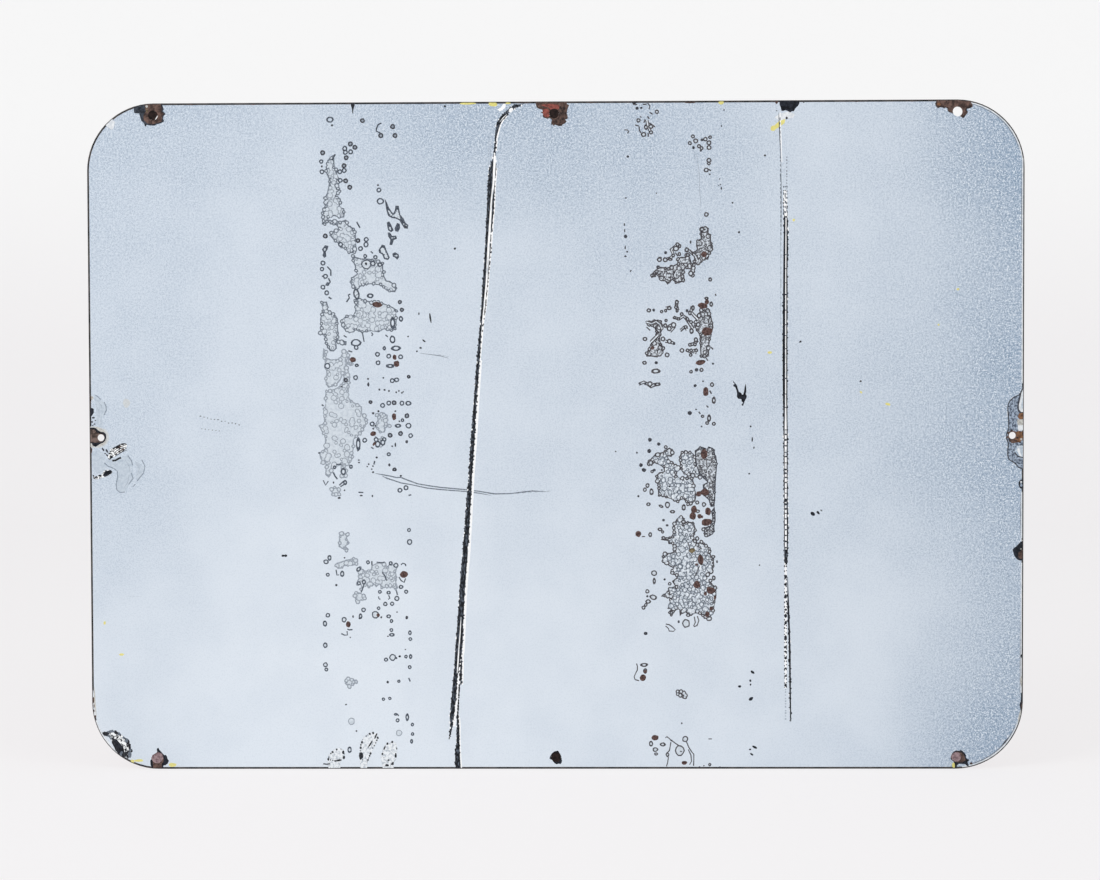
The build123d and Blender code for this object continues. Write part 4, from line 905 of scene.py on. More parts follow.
spot(304, -144, 1.3, 2.4, finish="soot")
for across in (-236, -196, -20, 24, 196, 232):
    stroke([(across - 4, top - 0.9), (across, top - 1.1), (across + 4, top - 0.9)],
           0.7, "brown_coat", True)
stroke([(85, top - 1), (88, top - 1.2), (91.5, top - 1)], 1, "brown_coat")
lay([(143, 207), (147, 209.4), (152, 210.6), (156.4, 209), (155, 206.6), (150.8, 206.2),
     (146.6, 204.6)], "pale_line_and_highlight")
spot(150.9, 206.5, 1.6, finish="soot")

# %% [markdown]
# ## Chips, scrapes and hollows
#
# These are the recesses of the CAD part, with the same outlines. A shallow one stops at the
# blue-black ground coat. Round the holes the ground coat has gone as well, and the steel has
# rusted. The outlines round a hole are measured from the hole's centre.

# %% Chips at the top holes
top_left_chip = pairs([
    -12.7, top_run, -12.2, 1.7, -10.9, 1.3, -8.9, 1.3, -8.4, -0.7, -7.6, -3.4, -5.9, -5, -5.2, -7,
    -4.4, -7.4, -4.2, -6.2, -1.9, -6.6, 1.1, -6.7, 2.6, -5.9, 5.1, -5.2, 7.1, -4.2, 7.4, -3.2, 6.6, -2.4,
    7.2, -0.4, 8.4, 0.8, 7.6, 1.8, 6.6, 2.7, 7.3, 3.8, 6.6, 5.8, 6, 7.3, 6.2, top_run,
])
top_left_bare = pairs([
    -4.9, top_run, -5.2, 5.8, -4.6, 2.8, -6.2, -0.2, -6, -3, -3.9, -5.2, -0.4, -5.9, 2.6, -5.1, 5.8, -4,
    5.9, -2.2, 6.4, 0, 7.2, 1, 5.6, 2.4, 6.2, 4.1, 5.2, 6.8, 5.4, top_run,
])
top_middle_chip = pairs([
    -12.5, top_run, -12, 6.8, -11.8, 5.4, -11.3, 3.8, -10, 3, -8, 2.5, -6.8, 2, -7, 1.1, -8.6, 0.9,
    -8.3, 0.2, -7.1, 0, -7.4, -1.8, -7, -2.6, -5.4, -3.2, -4.2, -3.6, -3.2, -3, -2.2, -3.5, -1.5, -4.2,
    -1.9, -5.8, -2, -7.6, -1.2, -7.2, -0.4, -8.2, 0.6, -7.3, 2.8, -8.2, 5, -8.2, 5.6, -7.2, 7, -6.6,
    8.2, -5.3, 7.2, -4, 8.8, -3.6, 8.9, -2.2, 8.3, -0.2, 8.5, 1.8, 8.9, 3.2, 9.8, 5.2, 8.3, 6.2,
    8.6, top_run,
])
top_middle_bare = pairs([
    -8.9, top_run, -9.3, 6.2, -11, 4.9, -10.4, 3.9, -7.3, 3.2, -5.9, 1.9, -6.4, 0.6, -6.4, -1.6,
    -5, -2.4, -3.4, -2.2, -1, -3.4, -0.9, -6, 0.8, -6.6, 4.6, -7, 6.8, -5.2, 7.4, -2.6, 7.6, 0.8, 8, 4.3,
    7.2, 5.8, 7.4, top_run,
])
top_right_chip = pairs([
    -14.2, top_run, -14, 6.4, -14.7, 5.4, -14.4, 3.8, -13, 2.1, -11.3, 2.7, -9.8, 2.5, -8.8, 1.9,
    -7.9, 2.5, -6.7, 1.8, -6.4, 0.1, -5.4, -0.6, -4.3, -0.9, -2.6, -1.7, 0.9, -2.8, 2.2, -3.6, 3.6, -4.5,
    4.4, -3.6, 5.4, -2.2, 6.7, -0.4, 5.8, 0.8, 6, 1.6, 7.4, 1.9, 9, 2.5, 9.8, 3.3, 9.4, 4.8, 8.6, 5.5,
    8.9, top_run,
])
top_right_bare = pairs([
    -13, top_run, -13.3, 5.6, -13, 3.8, -11.1, 3.6, -8.1, 3.6, -5.6, 2.3, -5.2, 0.8, -3.6, 0.4,
    -1.6, -0.6, 2.8, -2, 3.6, -2.8, 5, -0.6, 4.4, 1.8, 6.4, 3, 8.2, 3.6, 7.8, 5.1, 8.2, top_run,
])

# %% Chips at the bottom holes
bottom_left_chip = pairs([
    -4.4, -top_run, -4.3, -7, -5.2, -5.4, -5.4, -2.2, -4.4, -1.2, -4.3, 0.3, -2.9, 2, -1.4, 2.8,
    -0.7, 3.6, -1.1, 4.8, -0.7, 5.9, 0.2, 6.2, 0.6, 5, 1.8, 3.7, 2.8, 2.6, 4, 1.3, 4.8, 1.6, 5.6, 0.7,
    6.1, -1.2, 7, -2.4, 6.2, -4.2, 4.6, -5.4, 3.4, -5.5, 3.2, -6.4, 4.4, -7.2, 4.6, -top_run,
])
bottom_left_bare = pairs([
    -3.2, -top_run, -3.6, -5, -4, -1.8, -3.7, 0.4, -2.2, 1.8, 0, 2.4, 2, 1.4, 3.3, -0.6, 3.4, -2.6,
    2.2, -4.4, 2, -top_run,
])
bottom_middle_chip = pairs([
    -2.8, -1.6, -3.4, -1.8, -4.4, -1, -4.2, -0.1, -3, 0.4, 0, 2, 2.6, 0.4, 3.6, -0.6, 3.6, -1.6,
    3.9, -2.1, 3.7, -3.4, 3, -4.6, 1.6, -4.4, 0.3, -4.8, -1, -4.1, -2.2, -2.8,
])
bottom_right_chip = pairs([
    -1, -top_run, -0.9, -4.8, -2, -2.8, -3.7, -1.5, -3.5, 0.4, -2.8, 2.2, -1.4, 3.7, 0.2, 4.3, 2.1, 4,
    2.6, 4.6, 3.7, 4.3, 5.4, 2.8, 6.4, 1.2, 6.4, -0.6, 7.4, -1.4, 8.5, -1.7, 8.4, -2.6, 7.4, -3.1,
    7.7, -4.1, 8.4, -6.2, 7, -6, 5.9, -4.8, 3.4, -4.6, 1.6, -4.6, 0.4, -5.8, 0.9, -top_run,
])
bottom_right_bare = pairs([
    -1, -2.9, -0.8, 0.4, -1.2, 2.8, 0.6, 3.5, 2.8, 3.4, 4.6, 2.2, 5.4, 0.4, 6.2, -2.2, 4, -3.6, 1, -3.6,
])

# %% Chips at the side holes
left_chip = pairs([
    -side_run, 6.8, -6.4, 6.7, -4.4, 6.8, -3, 6.2, -1.6, 4.9, -0.2, 4, 2.2, 3.7, 3.5, 2.2, 3.6, 0.2,
    2.9, -1.8, 1.6, -3.2, 0, -3.8, -2, -5, -3.4, -6, -5.4, -5, -6, -3.6, -side_run, -3.8,
])
left_bare = pairs([
    -side_run, 6, -4.2, 5.7, -2.8, 3.8, -1.6, 3, 0, 2.9, 1.8, 2.2, 2.5, 0.2, 1.4, -2.2, -0.6, -2.9,
    -3, -3.2, -side_run, -2.8,
])
right_chip = pairs([
    side_run, 33, 6.8, 31, 5.4, 28, 3.9, 26.2, 1, 25, -1.3, 23, -2.6, 21, -3.1, 18, -2.8, 14, -2.6, 10,
    -2.4, 5, -3, 3, -3.8, 1, -3.8, -2, -2.6, -5, -3, -9, -3, -13, -2.3, -15.5, -0.1, -17, 2, -18.3,
    3.9, -20.7, 5.9, -21.5, side_run, -22, side_run, -14.8, 3.4, -13.4, 1.4, -11, 1.6, -8.4, 4.4, -6.2,
    side_run, -6, side_run, 2.4, 4, 2.6, 3.4, 6, 3, 10, side_run, 10.4, side_run, 14.4, 5.6, 15, 4.2, 18,
    4.6, 22, 5.6, 26, 6.6, 28.4, side_run, 30,
])
right_bare = pairs([
    -2.6, 2.4, 0, 3.2, 2.4, 2.5, 4.6, 1.8, side_run, 1.8, side_run, -3.6, 5.4, -3, 2.4, -4.6, -0.4, -5.2,
    -1.8, -3.8, -2.8, -1,
])
right_bare_upper = pairs([side_run, 13.8, 5.4, 14, 3.8, 13, 3.8, 11.6, 5.4, 11, side_run, 10.9])
upper_bar = pairs([
    6.1, -7.5, 8.6, -6.2, 11.6, -4.6, 13.8, -3.6, 16.6, -3.6, 17.4, -5, 16.4, -7, 15, -8.6, 12.6, -9.6,
    10.6, -11, 9.1, -12.2, 7.2, -13.4, 5.6, -14, 4.2, -12.5, 5.6, -10,
])
lower_bar = pairs([
    -5.4, -25.5, -2.4, -25, 0.6, -23.8, 1.6, -21.8, 4.1, -20.8, 6.6, -21.2, 7.6, -22.6, 6.4, -24,
    3.6, -25.4, 0.6, -26.4, -3.4, -27.4, -4.9, -26.6,
])

# %% Chips at the corners and along the edges
bottom_corner_chip = pairs([
    6, 24.2, 8.5, 23.9, 10, 25, 13, 25.7, 15.5, 25, 18, 23.7, 20, 22, 22, 20.4, 24, 18.3, 25, 16,
    25.5, 13, 26.7, 12, 25.4, 11, 25.2, 9, 23.5, 7.5, 21.5, 8, 19, 9.1, 17, 9.5, 15.5, 12.5, 14, 16,
    12.5, 18.7, 11, 21, 9, 22,
])
top_corner_chip = pairs([10.5, 12.5, 13.5, 15, 15.5, 16.8, 17, 16.8, 18.2, 15, 18.5, 12, 15, 7.5])
top_edge_chip = pairs([
    146.2, -past_edge, 146.3, 3, 147, 4.5, 147.5, 6.8, 148.6, 7, 150, 6.5, 151.5, 7, 153.2, 8,
    154.3, 7.2, 155.6, 7.2, 156.4, 5.5, 158.2, 3.8, 159.2, 2, 159.4, -past_edge,
])
tapered_chip = pairs([
    -132.4, -past_edge, -132.2, 2.4, -131.6, 4.2, -131.3, 7.2, -130.8, 7.2, -130.6, 4.4, -129.8, 2.4,
    -129.7, -past_edge,
])
top_nick = pairs([143, -past_edge, 143.4, 1.6, 144.3, 2.6, 145.3, 1.6, 145.6, -past_edge])
left_edge_chip = pairs([19.6, -past_edge, 19.6, 1.8, 19, 3, 16.5, 3, 14.8, 2, 13.6, 1, 13.4, -past_edge])
left_lower_chip = pairs([-5.6, -past_edge, -6, 1, -7.5, 1.8, -9.5, 1.6, -10.5, 0.9, -10.8, -past_edge])
right_edge_chip = pairs([
    -28.4, -past_edge, -28.8, 2.2, -30.5, 3.4, -33, 3.2, -34.6, 2.2, -35, -past_edge,
])
right_round_chip = pairs([
    -68.4, -past_edge, -69.2, 1.8, -70.6, 3.2, -72.4, 4.8, -73.2, 6.2, -74.6, 7.2, -76.2, 6.6, -78, 6.2,
    -79.6, 5.2, -81, 4, -81.6, 2.2, -81.8, -past_edge,
])
right_round_bare = pairs([
    -75.2, -past_edge, -75, 1.4, -76.4, 3, -78.6, 3.2, -80.2, 2.4, -81, -past_edge,
])
forked_chip = pairs([
    116.2, 36.2, 116.1, 35, 117, 34.2, 116.2, 33.2, 116.2, 32.6, 117.4, 32, 118.2, 30, 118.6, 28,
    118.5, 25.6, 119.4, 24.4, 121.4, 24.1, 121.6, 22.6, 122.6, 21.8, 121.5, 20.8, 121.8, 19.9,
    122.6, 19.8, 123.2, 21.5, 123.6, 22.8, 124.8, 25, 125, 26.2, 124.2, 27.4, 124.7, 29, 124.6, 31.5,
    124.3, 34.4, 123.6, 32.4, 123.2, 29.5, 122.6, 27.2, 122, 27, 121.2, 28.4, 119.9, 28.9, 119.2, 31,
    118.6, 33, 117.8, 34.2, 117.2, 34.7,
])

# %% Hollows at the bottom edge, and pits
left_spall = pairs([
    -149.4, -past_edge, -150.2, 6, -149.4, 9.4, -146, 12.5, -142.5, 14, -139.6, 12.8, -138.8, 10,
    -139.2, 7.6, -141, 6, -142, 4, -141.4, -past_edge,
])
middle_spall = pairs([
    -128.4, -past_edge, -128.9, 6.5, -128.9, 12, -128.6, 16, -127.2, 19.5, -125, 22, -122.5, 23.6,
    -120, 24.2, -117.5, 23, -116.6, 20.5, -118, 17, -120, 13.5, -121.4, 10, -122.8, 7, -124, 4,
    -124.3, -past_edge,
])
right_spall = pairs([
    -113.6, -past_edge, -115, 8, -113.6, 13.5, -111, 17, -107.5, 18.2, -104.8, 17, -104.2, 13.5,
    -104.8, 10, -105.3, 6, -107, 3.5, -106.4, -past_edge,
])
pits = [
    (167.8, -50.8, 3.4, 2.4, -35), (171.4, -50, 2.8, 1.6, -50), (128.6, -154.4, 3.2, 1.8, -40),
    (127.2, -160, 1.8, 1.4, 90), (127.3, -162.6, 1.4, 1.1, 90), (127.6, -171.9, 3.4, 2.2, 35),
    (120.2, -163.8, 2.2, 1.6, 0), (130, -203.8, 3.8, 1.6, -28), (127, -205.2, 1.5, 1.2, 20),
    (128, -208.4, 2.6, 1.3, -32), (-178.6, -77.6, 2, 1.6, 10),
]

# %% The long scrapes, as rows of (down from the top edge, left side, right side)
long_scrape = [
    (1.8, -25.5, -20), (3.8, -28.6, -23.6), (6.5, -31.4, -29), (9.5, -34.6, -31), (12, -36.6, -33.4),
    (15, -37.6, -35.2), (19, -38.2, -36.4), (24, -38.7, -37.6), (32, -39.2, -38.2), (38, -40.4, -38),
    (43, -42.6, -37.8), (58, -43.5, -39), (68, -43.9, -39.3), (83, -44.6, -40.7), (98, -45.5, -41.8),
    (108, -46.1, -42.8), (118, -47, -43.6), (133, -47.9, -45), (143, -48.6, -46.8), (168, -51, -49.1),
    (193, -52.9, -50.9), (218, -55, -52.4), (243, -56.7, -54.3), (268, -58.8, -55.7),
    (293, -60.8, -57.2), (318, -62.9, -59.4), (343, -64.6, -60.6), (358, -66, -61.2),
    (368, -66.5, -63.3), (378, -67.5, -64.8), (388, -68.3, -65.3), (400, -69.7, -66.7),
    (408, -69.6, -67.7), (413, -70, -69), (416.5, -70.5, -70.1),
]
long_scrape_branch = [
    (400.4, -65.2, -64.4), (403.5, -65, -63.6), (408, -65.3, -63.4), (418, -65.4, -63.4),
    (426, -66.3, -63.2), (432, -66.4, -62.8), (438, -65.4, -62.6),
]
long_scrape_strand = [
    (362, -62.3, -61.4), (370, -62.7, -61.4), (376, -63.2, -61.6), (380.5, -62.8, -61.9),
]
second_scrape = [
    (60, 149.2, 149.9), (66, 148.8, 150.4), (72, 149.1, 151.4), (83, 149, 151.8), (98, 149.2, 151.8),
    (110, 149.2, 151.4), (128, 148.6, 151.6), (158, 148.4, 151.4), (198, 148.7, 151.3),
    (218, 148.8, 151.6), (243, 149, 151.6), (263, 149.1, 151.7), (278, 149.1, 152), (296, 149.3, 151.6),
    (302, 149.6, 151.2),
]
second_scrape_branch = [
    (318, 151.4, 152), (330, 151.3, 152.3), (343, 151.9, 152.9), (358, 152.4, 153.4),
    (378, 152.6, 153.6), (393, 152.8, 153.8), (404.5, 153.2, 153.9),
]
chatter_x, chatter_width = 150.3, 1.5
chatter_pits = [
    (310, 3), (315, 2.4), (322.8, 3.2), (331.5, 1.6), (335.5, 3), (340, 2.6), (350, 4), (356, 1.8),
    (359, 1.4), (363.2, 2), (370, 1.4), (375, 1.4), (381, 2.2),
]

# %% [markdown]
# Inside the scrapes the tool dragged crushed enamel along, so a white line runs beside the black
# one. Those lines are marks too, laid over the floor of the scrape.

# %% White lines in the scrapes
white_drag = [
    [(33, -39.2, -38.4), (36, -39.4, -37.9), (43, -39.8, -38.3), (53, -40.2, -38.9), (63, -41.4, -40.4),
     (93, -43.6, -42.1), (118, -45, -43.9), (143, -47.4, -46.4), (160, -48.6, -47.6)],
    [(336, -62.2, -61.8), (346, -62.9, -62.3), (358, -64, -63.2), (366, -64.6, -63.7),
     (373, -65, -64.4)], [(58, 149, 150.6), (66, 148.6, 151.4), (75, 149.6, 151.2)],
    [(76, 150.2, 150.8), (118, 150, 150.6), (196, 149.9, 150.6), (215, 149.6, 150.9), (292, 149.8, 151)],
]
white_edges = [
    # scrape, from, to (down from the top edge), how wide
    ("long", 9, 32, 0.9), ("long", 43, 168, 0.8), ("long", 168, 343, 1.6), ("long", 343, 408, 1.6),
    ("branch", 400, 440, 0.9), ("strand", 362, 380.5, 1.1),
]
thin_lines = [
    # a path of (down, across), finish, breadth
    ([8, 145.7, 14, 146, 28, 146.6, 43, 147.3], "soot", 0.55),
    ([43, 147.3, 60, 147.4, 85, 147.6], "scratch", 0.5),
    ([60, 146.9, 150, 146.8], "scratch", 0.4),
    ([22, -42.4, 42, -42.6], "scratch", 0.45),
    ([24, -41.2, 40, -41.5], "scratch", 0.45),
    ([4, -20.6, 9, -24.4], "scratch", 0.4),
    ([310, 151.5, 330, 152, 343, 152.5, 358, 152.9, 393, 153.3, 405, 153.6], "ground_coat", 1.1),
    ([74, 149.4, 96, 149.4, 120, 149.2, 160, 148.9, 196, 149, 206, 149.3], "ground_coat", 1.3),
    ([206, 149.3, 296, 149.4], "ground_coat", 0.6),
    ([74, 151.3, 200, 151.2, 296, 151.4], "ground_coat", 0.5),
]


# %% Cut the recesses
def at_hole(which, outline):
    """The outline round a hole: 0 to 2 are the top row, 3 to 5 the bottom row, 6 and 7 the sides."""
    x, z, _ = holes[which]
    return [(x + u, z + v) for u, v in outline]


def from_corner(outline, z, inward):
    return [(-right + u, z + inward * v) for u, v in outline]


def from_edge(outline, edge, inward):
    """For the top and bottom edges: (along, in from the edge)."""
    return [(u, edge + inward * v) for u, v in outline]


def from_side(outline, edge, inward):
    return [(edge + inward * v, u) for u, v in outline]


def band(rows):
    """A band from rows of (down from the top edge, left side, right side)."""
    return [(a, top - down) for down, a, b in rows] + [(b, top - down) for down, a, b in rows[::-1]]


for outline in (left_spall, middle_spall, right_spall):
    sink(from_edge(outline, -top, 1), spall_depth, "residue_dark", "frosted")
shallow_chips = [
    (at_hole(0, top_left_chip), "grey_ground"),
    (at_hole(1, top_middle_chip), "brown_coat"),
    (at_hole(2, top_right_chip), "brown_coat"),
    (at_hole(3, bottom_left_chip), "ground_coat"),
    (at_hole(4, bottom_middle_chip), "ground_coat"),
    (at_hole(5, bottom_right_chip), "ground_coat"),
    (at_hole(6, left_chip), "ground_coat"),
    (at_hole(7, right_chip), "speckled"),
    (at_hole(6, upper_bar), "crazed"),
    (at_hole(6, lower_bar), "crazed"),
    (from_corner(bottom_corner_chip, -top, 1), "crazed"),
    (from_corner(top_corner_chip, top, -1), "pale_line_and_highlight"),
    (from_edge(top_edge_chip, top, -1), "ground_coat"),
    (from_edge(top_nick, top, -1), "rusty_steel"),
    (from_edge(tapered_chip, top, -1), "ground_coat"),
    (forked_chip, "ground_coat"),
    (from_side(left_edge_chip, -right, 1), "ground_coat"),
    (from_side(left_lower_chip, -right, 1), "rusty_steel"),
    (from_side(right_edge_chip, right, -1), "ground_coat"),
    (from_side(right_round_chip, right, -1), "ground_coat"),
]
for outline, floor in shallow_chips:
    sink(outline, chip_depth, "chip_wall", floor)
for x, z, length, pit_width, turn in pits:
    sink(oval(x, z, length, pit_width, turn, corners=8), chip_depth, "ground_coat", "ground_coat")
bare_places = [
    at_hole(0, top_left_bare), at_hole(1, top_middle_bare), at_hole(2, top_right_bare),
    at_hole(3, bottom_left_bare), at_hole(5, bottom_right_bare), at_hole(7, right_bare),
    at_hole(7, right_bare_upper), from_side(right_round_bare, right, -1),
]
for outline in bare_places:
    sink(outline, bare_depth, "rusty_steel", "rusty_steel")
sink(at_hole(6, left_bare), bare_depth, "drab_rust", "drab_rust")
scrapes = {"long": long_scrape, "branch": long_scrape_branch, "strand": long_scrape_strand,
           "second": second_scrape, "second branch": second_scrape_branch}


def roughen(path, pitch, size, kinds):
    """Small bites and crumbs strewn along an edge."""
    for (x0, z0), (x1, z1) in zip(path, path[1:]):
        steps = max(1, round(math.hypot(x1 - x0, z1 - z0) / pitch))
        for k in range(steps):
            along = (k + draw.random()) / steps
            spot(x0 + (x1 - x0) * along + draw.uniform(-0.3, 0.3), z0 + (z1 - z0) * along,
                 size * draw.uniform(0.5, 1.2), size * draw.uniform(0.8, 2.4), finish=draw.choice(kinds))


for which, first, last, reach in white_edges:
    rows = [(down, b, b + reach) for down, a, b in scrapes[which] if first <= down <= last]
    lay(band(rows), "white_edge")
lay(band([(8, 146.3, 146.9), (28, 147, 147.7), (40, 147.6, 148)]), "white_edge")
lay(band([(300, 149.6, 151), (345, 149.4, 151.1), (383, 149.6, 150.9)]), "white_edge")
lay([(-36.8, 213), (-34.6, 214.2), (-33, 216.6), (-31.4, 216.4), (-31.6, 214.2), (-33.4, 212.6),
     (-35.4, 211.6)], "white_edge")
for rows in scrapes.values():
    sink(band(rows), scrape_depth, "scrape", "scrape")
for down, length in chatter_pits:
    z, half = top - down, chatter_width / 2
    left, right_side = chatter_x - half, chatter_x + half
    sink([(left, z - length / 4), (left, z + length / 4), (chatter_x, z + length / 2),
          (right_side, z + length / 4), (right_side, z - length / 4), (chatter_x, z - length / 2)],
         scrape_depth, "scrape", "scrape")
for rows in white_drag:
    lay(band(rows), "white_drag")
for rows in scrapes.values():
    for side in (1, 2):
        path = [(row[side], top - row[0]) for row in rows]
        roughen(path, 2.3, 0.8, ["soot", "soot", "scrape", "white_edge"])
for path, finish, breadth in thin_lines:
    stroke([(x, top - down) for down, x in pairs(path)], breadth, finish=finish, pointed=True)
spot(-28.2, 212.4, 2.6, 3.6, -35, finish="white_drag")
stroke([(-35.4, 204.8), (-33, 207.6), (-30.6, 210)], 0.5, finish="white_drag", pointed=True)


def beads(x, start, end, gap, across, tall, finish="soot", lean=0):
    """Small bars one below the other, from one depth below the top edge to another."""
    down = start
    while down < end:
        spot(x + lean * (down - start), top - down, across * draw.uniform(0.8, 1.2),
             tall * draw.uniform(0.6, 1.5), finish=finish)
        down += gap * draw.uniform(0.7, 1.3)


beads(-63.3, 381, 402, 1.9, 1.1, 1.8, lean=-0.06)
spot(-64.4, top - 401.5, 1.9, 2.4)
beads(-41, 95, 145, 3, 0.7, 1.4, lean=-0.11)
beads(150.3, 214, 294, 3.4, 1.5, 1, "scrape")
beads(150.3, 100, 200, 8, 1.2, 0.6, "scrape")
beads(151, 37, 60, 2, 0.7, 0.9, "scratch")
for across in (148.9, 150, 151.1):
    beads(across, 56, 74, 2.6, 0.9, 1.3, "residue")
for across in (149.5, 150.7):
    beads(across, 303, 383, 2.7, 0.8, 1)
beads(146.6, 12, 90, 2.6, 0.7, 1.8, "scratch", lean=0.008)
beads(147.2, 90, 150, 4, 0.6, 2.2, "faint_scratch")
beads(150.2, 384, 405, 2, 1.1, 1.2, "faint_scratch")
for down, length in chatter_pits + [(260, 3.2), (299, 5)]:
    spot(150.2, top - down, 1.9, 0.8 * length, finish="soot")

# %% Tones inside the chips
inner_tones = [
    ("red_rust", [-8.6, 215.8, -6, 214.6, -3.6, 214.2, -2.6, 212.8, 0, 213, 2.6, 212.8, 4, 214.4,
     2.8, 215.8, -2.6, 216.4]),
    ("red_rust", [-7.6, 212.4, -7.2, 209.2, -5.6, 207.6, -3.8, 207.8, -2.8, 209, -3, 212, -4.6, 213.5,
     -6.6, 213.2]),
    ("brown_coat", [3.4, 214.6, 5, 215.4, 8.2, 214.4, 7.9, 208.6, 7, 205, 3.4, 203.6, 0.6, 204.4,
     1.4, 206.4, 3, 208]),
    ("ground_coat", [-292.2, -197.8, -289.4, -198.2, -287.2, -200.6, -285.4, -202.8, -284.2, -205.4,
     -283.8, -207.6, -282.4, -209.4, -284.6, -210.2, -287.4, -208.9, -289.4, -206.2, -291.6, -202]),
    ("ground_coat", [-296.8, -24.6, -294.4, -21.9, -291.8, -21.2, -290.6, -22.8, -292.4, -24.4,
     -295.4, -25.6]),
    ("bright_rust", [299.6, 2.2, 302, 3, 304.6, 2.4, 304.6, -2.4, 302, -4.6, 298.6, -4.4, 299.8, -1.6,
     300.4, 0.4]),
    ("residue_dark", [304.6, 32.4, 302.6, 28.4, 301.6, 24, 300.6, 19.6, 300.8, 16.4, 302, 14.6,
     304.6, 14.4]),
    ("pale_line_and_highlight", [304.6, 30.6, 303.4, 27.8, 302.5, 23.6, 301.6, 19.4, 301.9, 16.8, 303, 15.4,
     304.6, 15.2]), ("residue_film", [304.6, 26, 303.4, 21, 303, 18, 304.6, 17.4]),
    ("bright_rust", [301.8, 14.4, 304.6, 14.8, 304.6, 10.8, 302.6, 10.2, 301, 11.8]),
    ("tan_fringe", [300.8, 10.6, 304.6, 10.4, 304.6, 6.8, 301.4, 6.2, 300.6, 8]),
    ("pale_line_and_highlight", [301.2, 6.6, 304.6, 6.8, 304.6, 3.4, 301.6, 3, 301, 4.8]),
    ("residue_film", [300.4, -7, 304.6, -6.4, 304.6, -15.2, 303, -14.4, 301.2, -11.4, 300.2, -9.2]),
    ("pale_line_and_highlight", [300.9, -8.6, 302, -8, 303.6, -14.2, 303, -14.6, 301.2, -11.4]),
    ("brown_coat", [301.6, -76.4, 303.2, -75.2, 304.6, -75.6, 304.6, -80.6, 302.6, -80.4, 301.4, -79]),
]
for finish, outline in inner_tones:
    lay(pairs(outline), finish)
spots([(-265.6, 216, 1.5, 1.6), (304, -68.4, 1, 1), (303.4, -74, 0.9, 0.9)], "tan_fringe")
spot(-265.4, 213.4, 0.9, 2.6, finish="olive_stain")
spot(249.6, 214.9, 2.8, 1.8, finish="bright_rust")
widest_line = 7.6
for line in (right_chip[:26], right_chip[26:30]):
    kept_in = [(min(u, widest_line), v) for u, v in line[1:]]
    stroke(at_hole(7, kept_in), 0.8, "residue_dark")
spots([(295, 1.6, 1.6, 1.8), (294.6, -1.2, 1.5, 1.6), (296, -3.6, 1.6, 1.2), (297, 3.4, 1.8, 1),
       (299.6, -3.4, 2.2, 1.4), (300.6, -1.4, 1.4, 1.6), (304.2, 1.2, 0.8, 2), (302.4, -4.4, 1.8, 0.9)],
      "brown_coat")
spot(303.4, -2.4, 1.6, 1.2, finish="tan_fringe")
spot(303.4, -32.4, 1.6, 2.6, finish="speckled")
spot(303.4, -30.3, 1.3, 1.3, finish="pale_line_and_highlight")
spot(-262.5, -211, 7.7, 7.3, finish="pink_stop")
spot(0, -209.9, 7.2, 7.3, finish="ground_coat")
for line in range(5):
    finish, drop = ("soot", "brown_coat")[line % 2], 1.15 * line
    stroke([(-290.4 + 0.5 * drop, -7.6 - drop), (-286 + 0.5 * drop, -5 - 0.9 * drop),
            (-281.6 + 0.3 * drop, -3.9 - 0.9 * drop)], 0.75, finish=finish, pointed=True)


def dot_the_edge(outline, pitch, size, share):
    """Dark dots just inside an outline, where the coat broke off in small bites."""
    for x, z in along_outline(inset(outline, 0.4 * size), pitch):
        if draw.random() < share:
            big = size * draw.uniform(0.5, 1.4)
            spot(x, z, big, big * draw.uniform(0.7, 1.6),
                 finish=draw.choice(["soot", "soot", "residue"]))


dot_the_edge(from_corner(bottom_corner_chip, -top, 1), 1.3, 1.8, 0.9)
spots([(-283.4, -208, 3, 2.2), (-281.4, -206.4, 1.8, 1.4), (-300.8, -25.8, 2.2, 1),
       (-298.4, -24.8, 2.6, 1.2), (-302, -26.4, 1.6, 1), (-291.4, -10.4, 3.4, 0.9, -14),
       (-290.4, -12, 3.2, 0.8, 12)], "soot")
for outline in (left_spall, middle_spall, right_spall):
    dot_the_edge([(x, z) for x, z in from_edge(outline, -top, 1) if z > 1 - top], 1.7, 1.1, 0.7)
spots([(-139.8, -207, 1.6, 2.4), (-139.4, -210.4, 1.5, 2.2), (-143, -212.4, 4.6, 1.4, 10),
       (-128, -209.2, 2.8, 5), (-122, -201.6, 1, 5.6, -32), (-118.4, -196.4, 1, 4.4, -24),
       (-105.3, -209, 1.4, 3.2), (-111, -215.6, 2.6, 1.6), (-107.6, -214.8, 2.2, 1.4),
       (-112.6, -204, 1, 3.2, -20)], "soot")
stroke([(-153, -214.6), (-150.6, -214.9), (-148.4, -214.6)], 0.8, finish="residue_dark")
lay([(-132.5, 217.6), (-131.5, 213.2), (-131, 210.6), (-130.6, 213.2), (-129.6, 217.6)], "soot")
spot(-123, 113.3, 1.5, 1.5, finish="soot")
print("marks in all:", len(marks))

# %% [markdown]
# ## Cut the back along all marks
#
# Blender has no single operator that cuts a sheet along thousands of outlines that overlap, so
# this one step uses the triangulator that comes with mathutils. It gives back triangles and says,
# for each, which outlines hold it. The last mark in that list names the finish, and the deepest
# floor names the depth. Each outline may cross the others, but never itself.

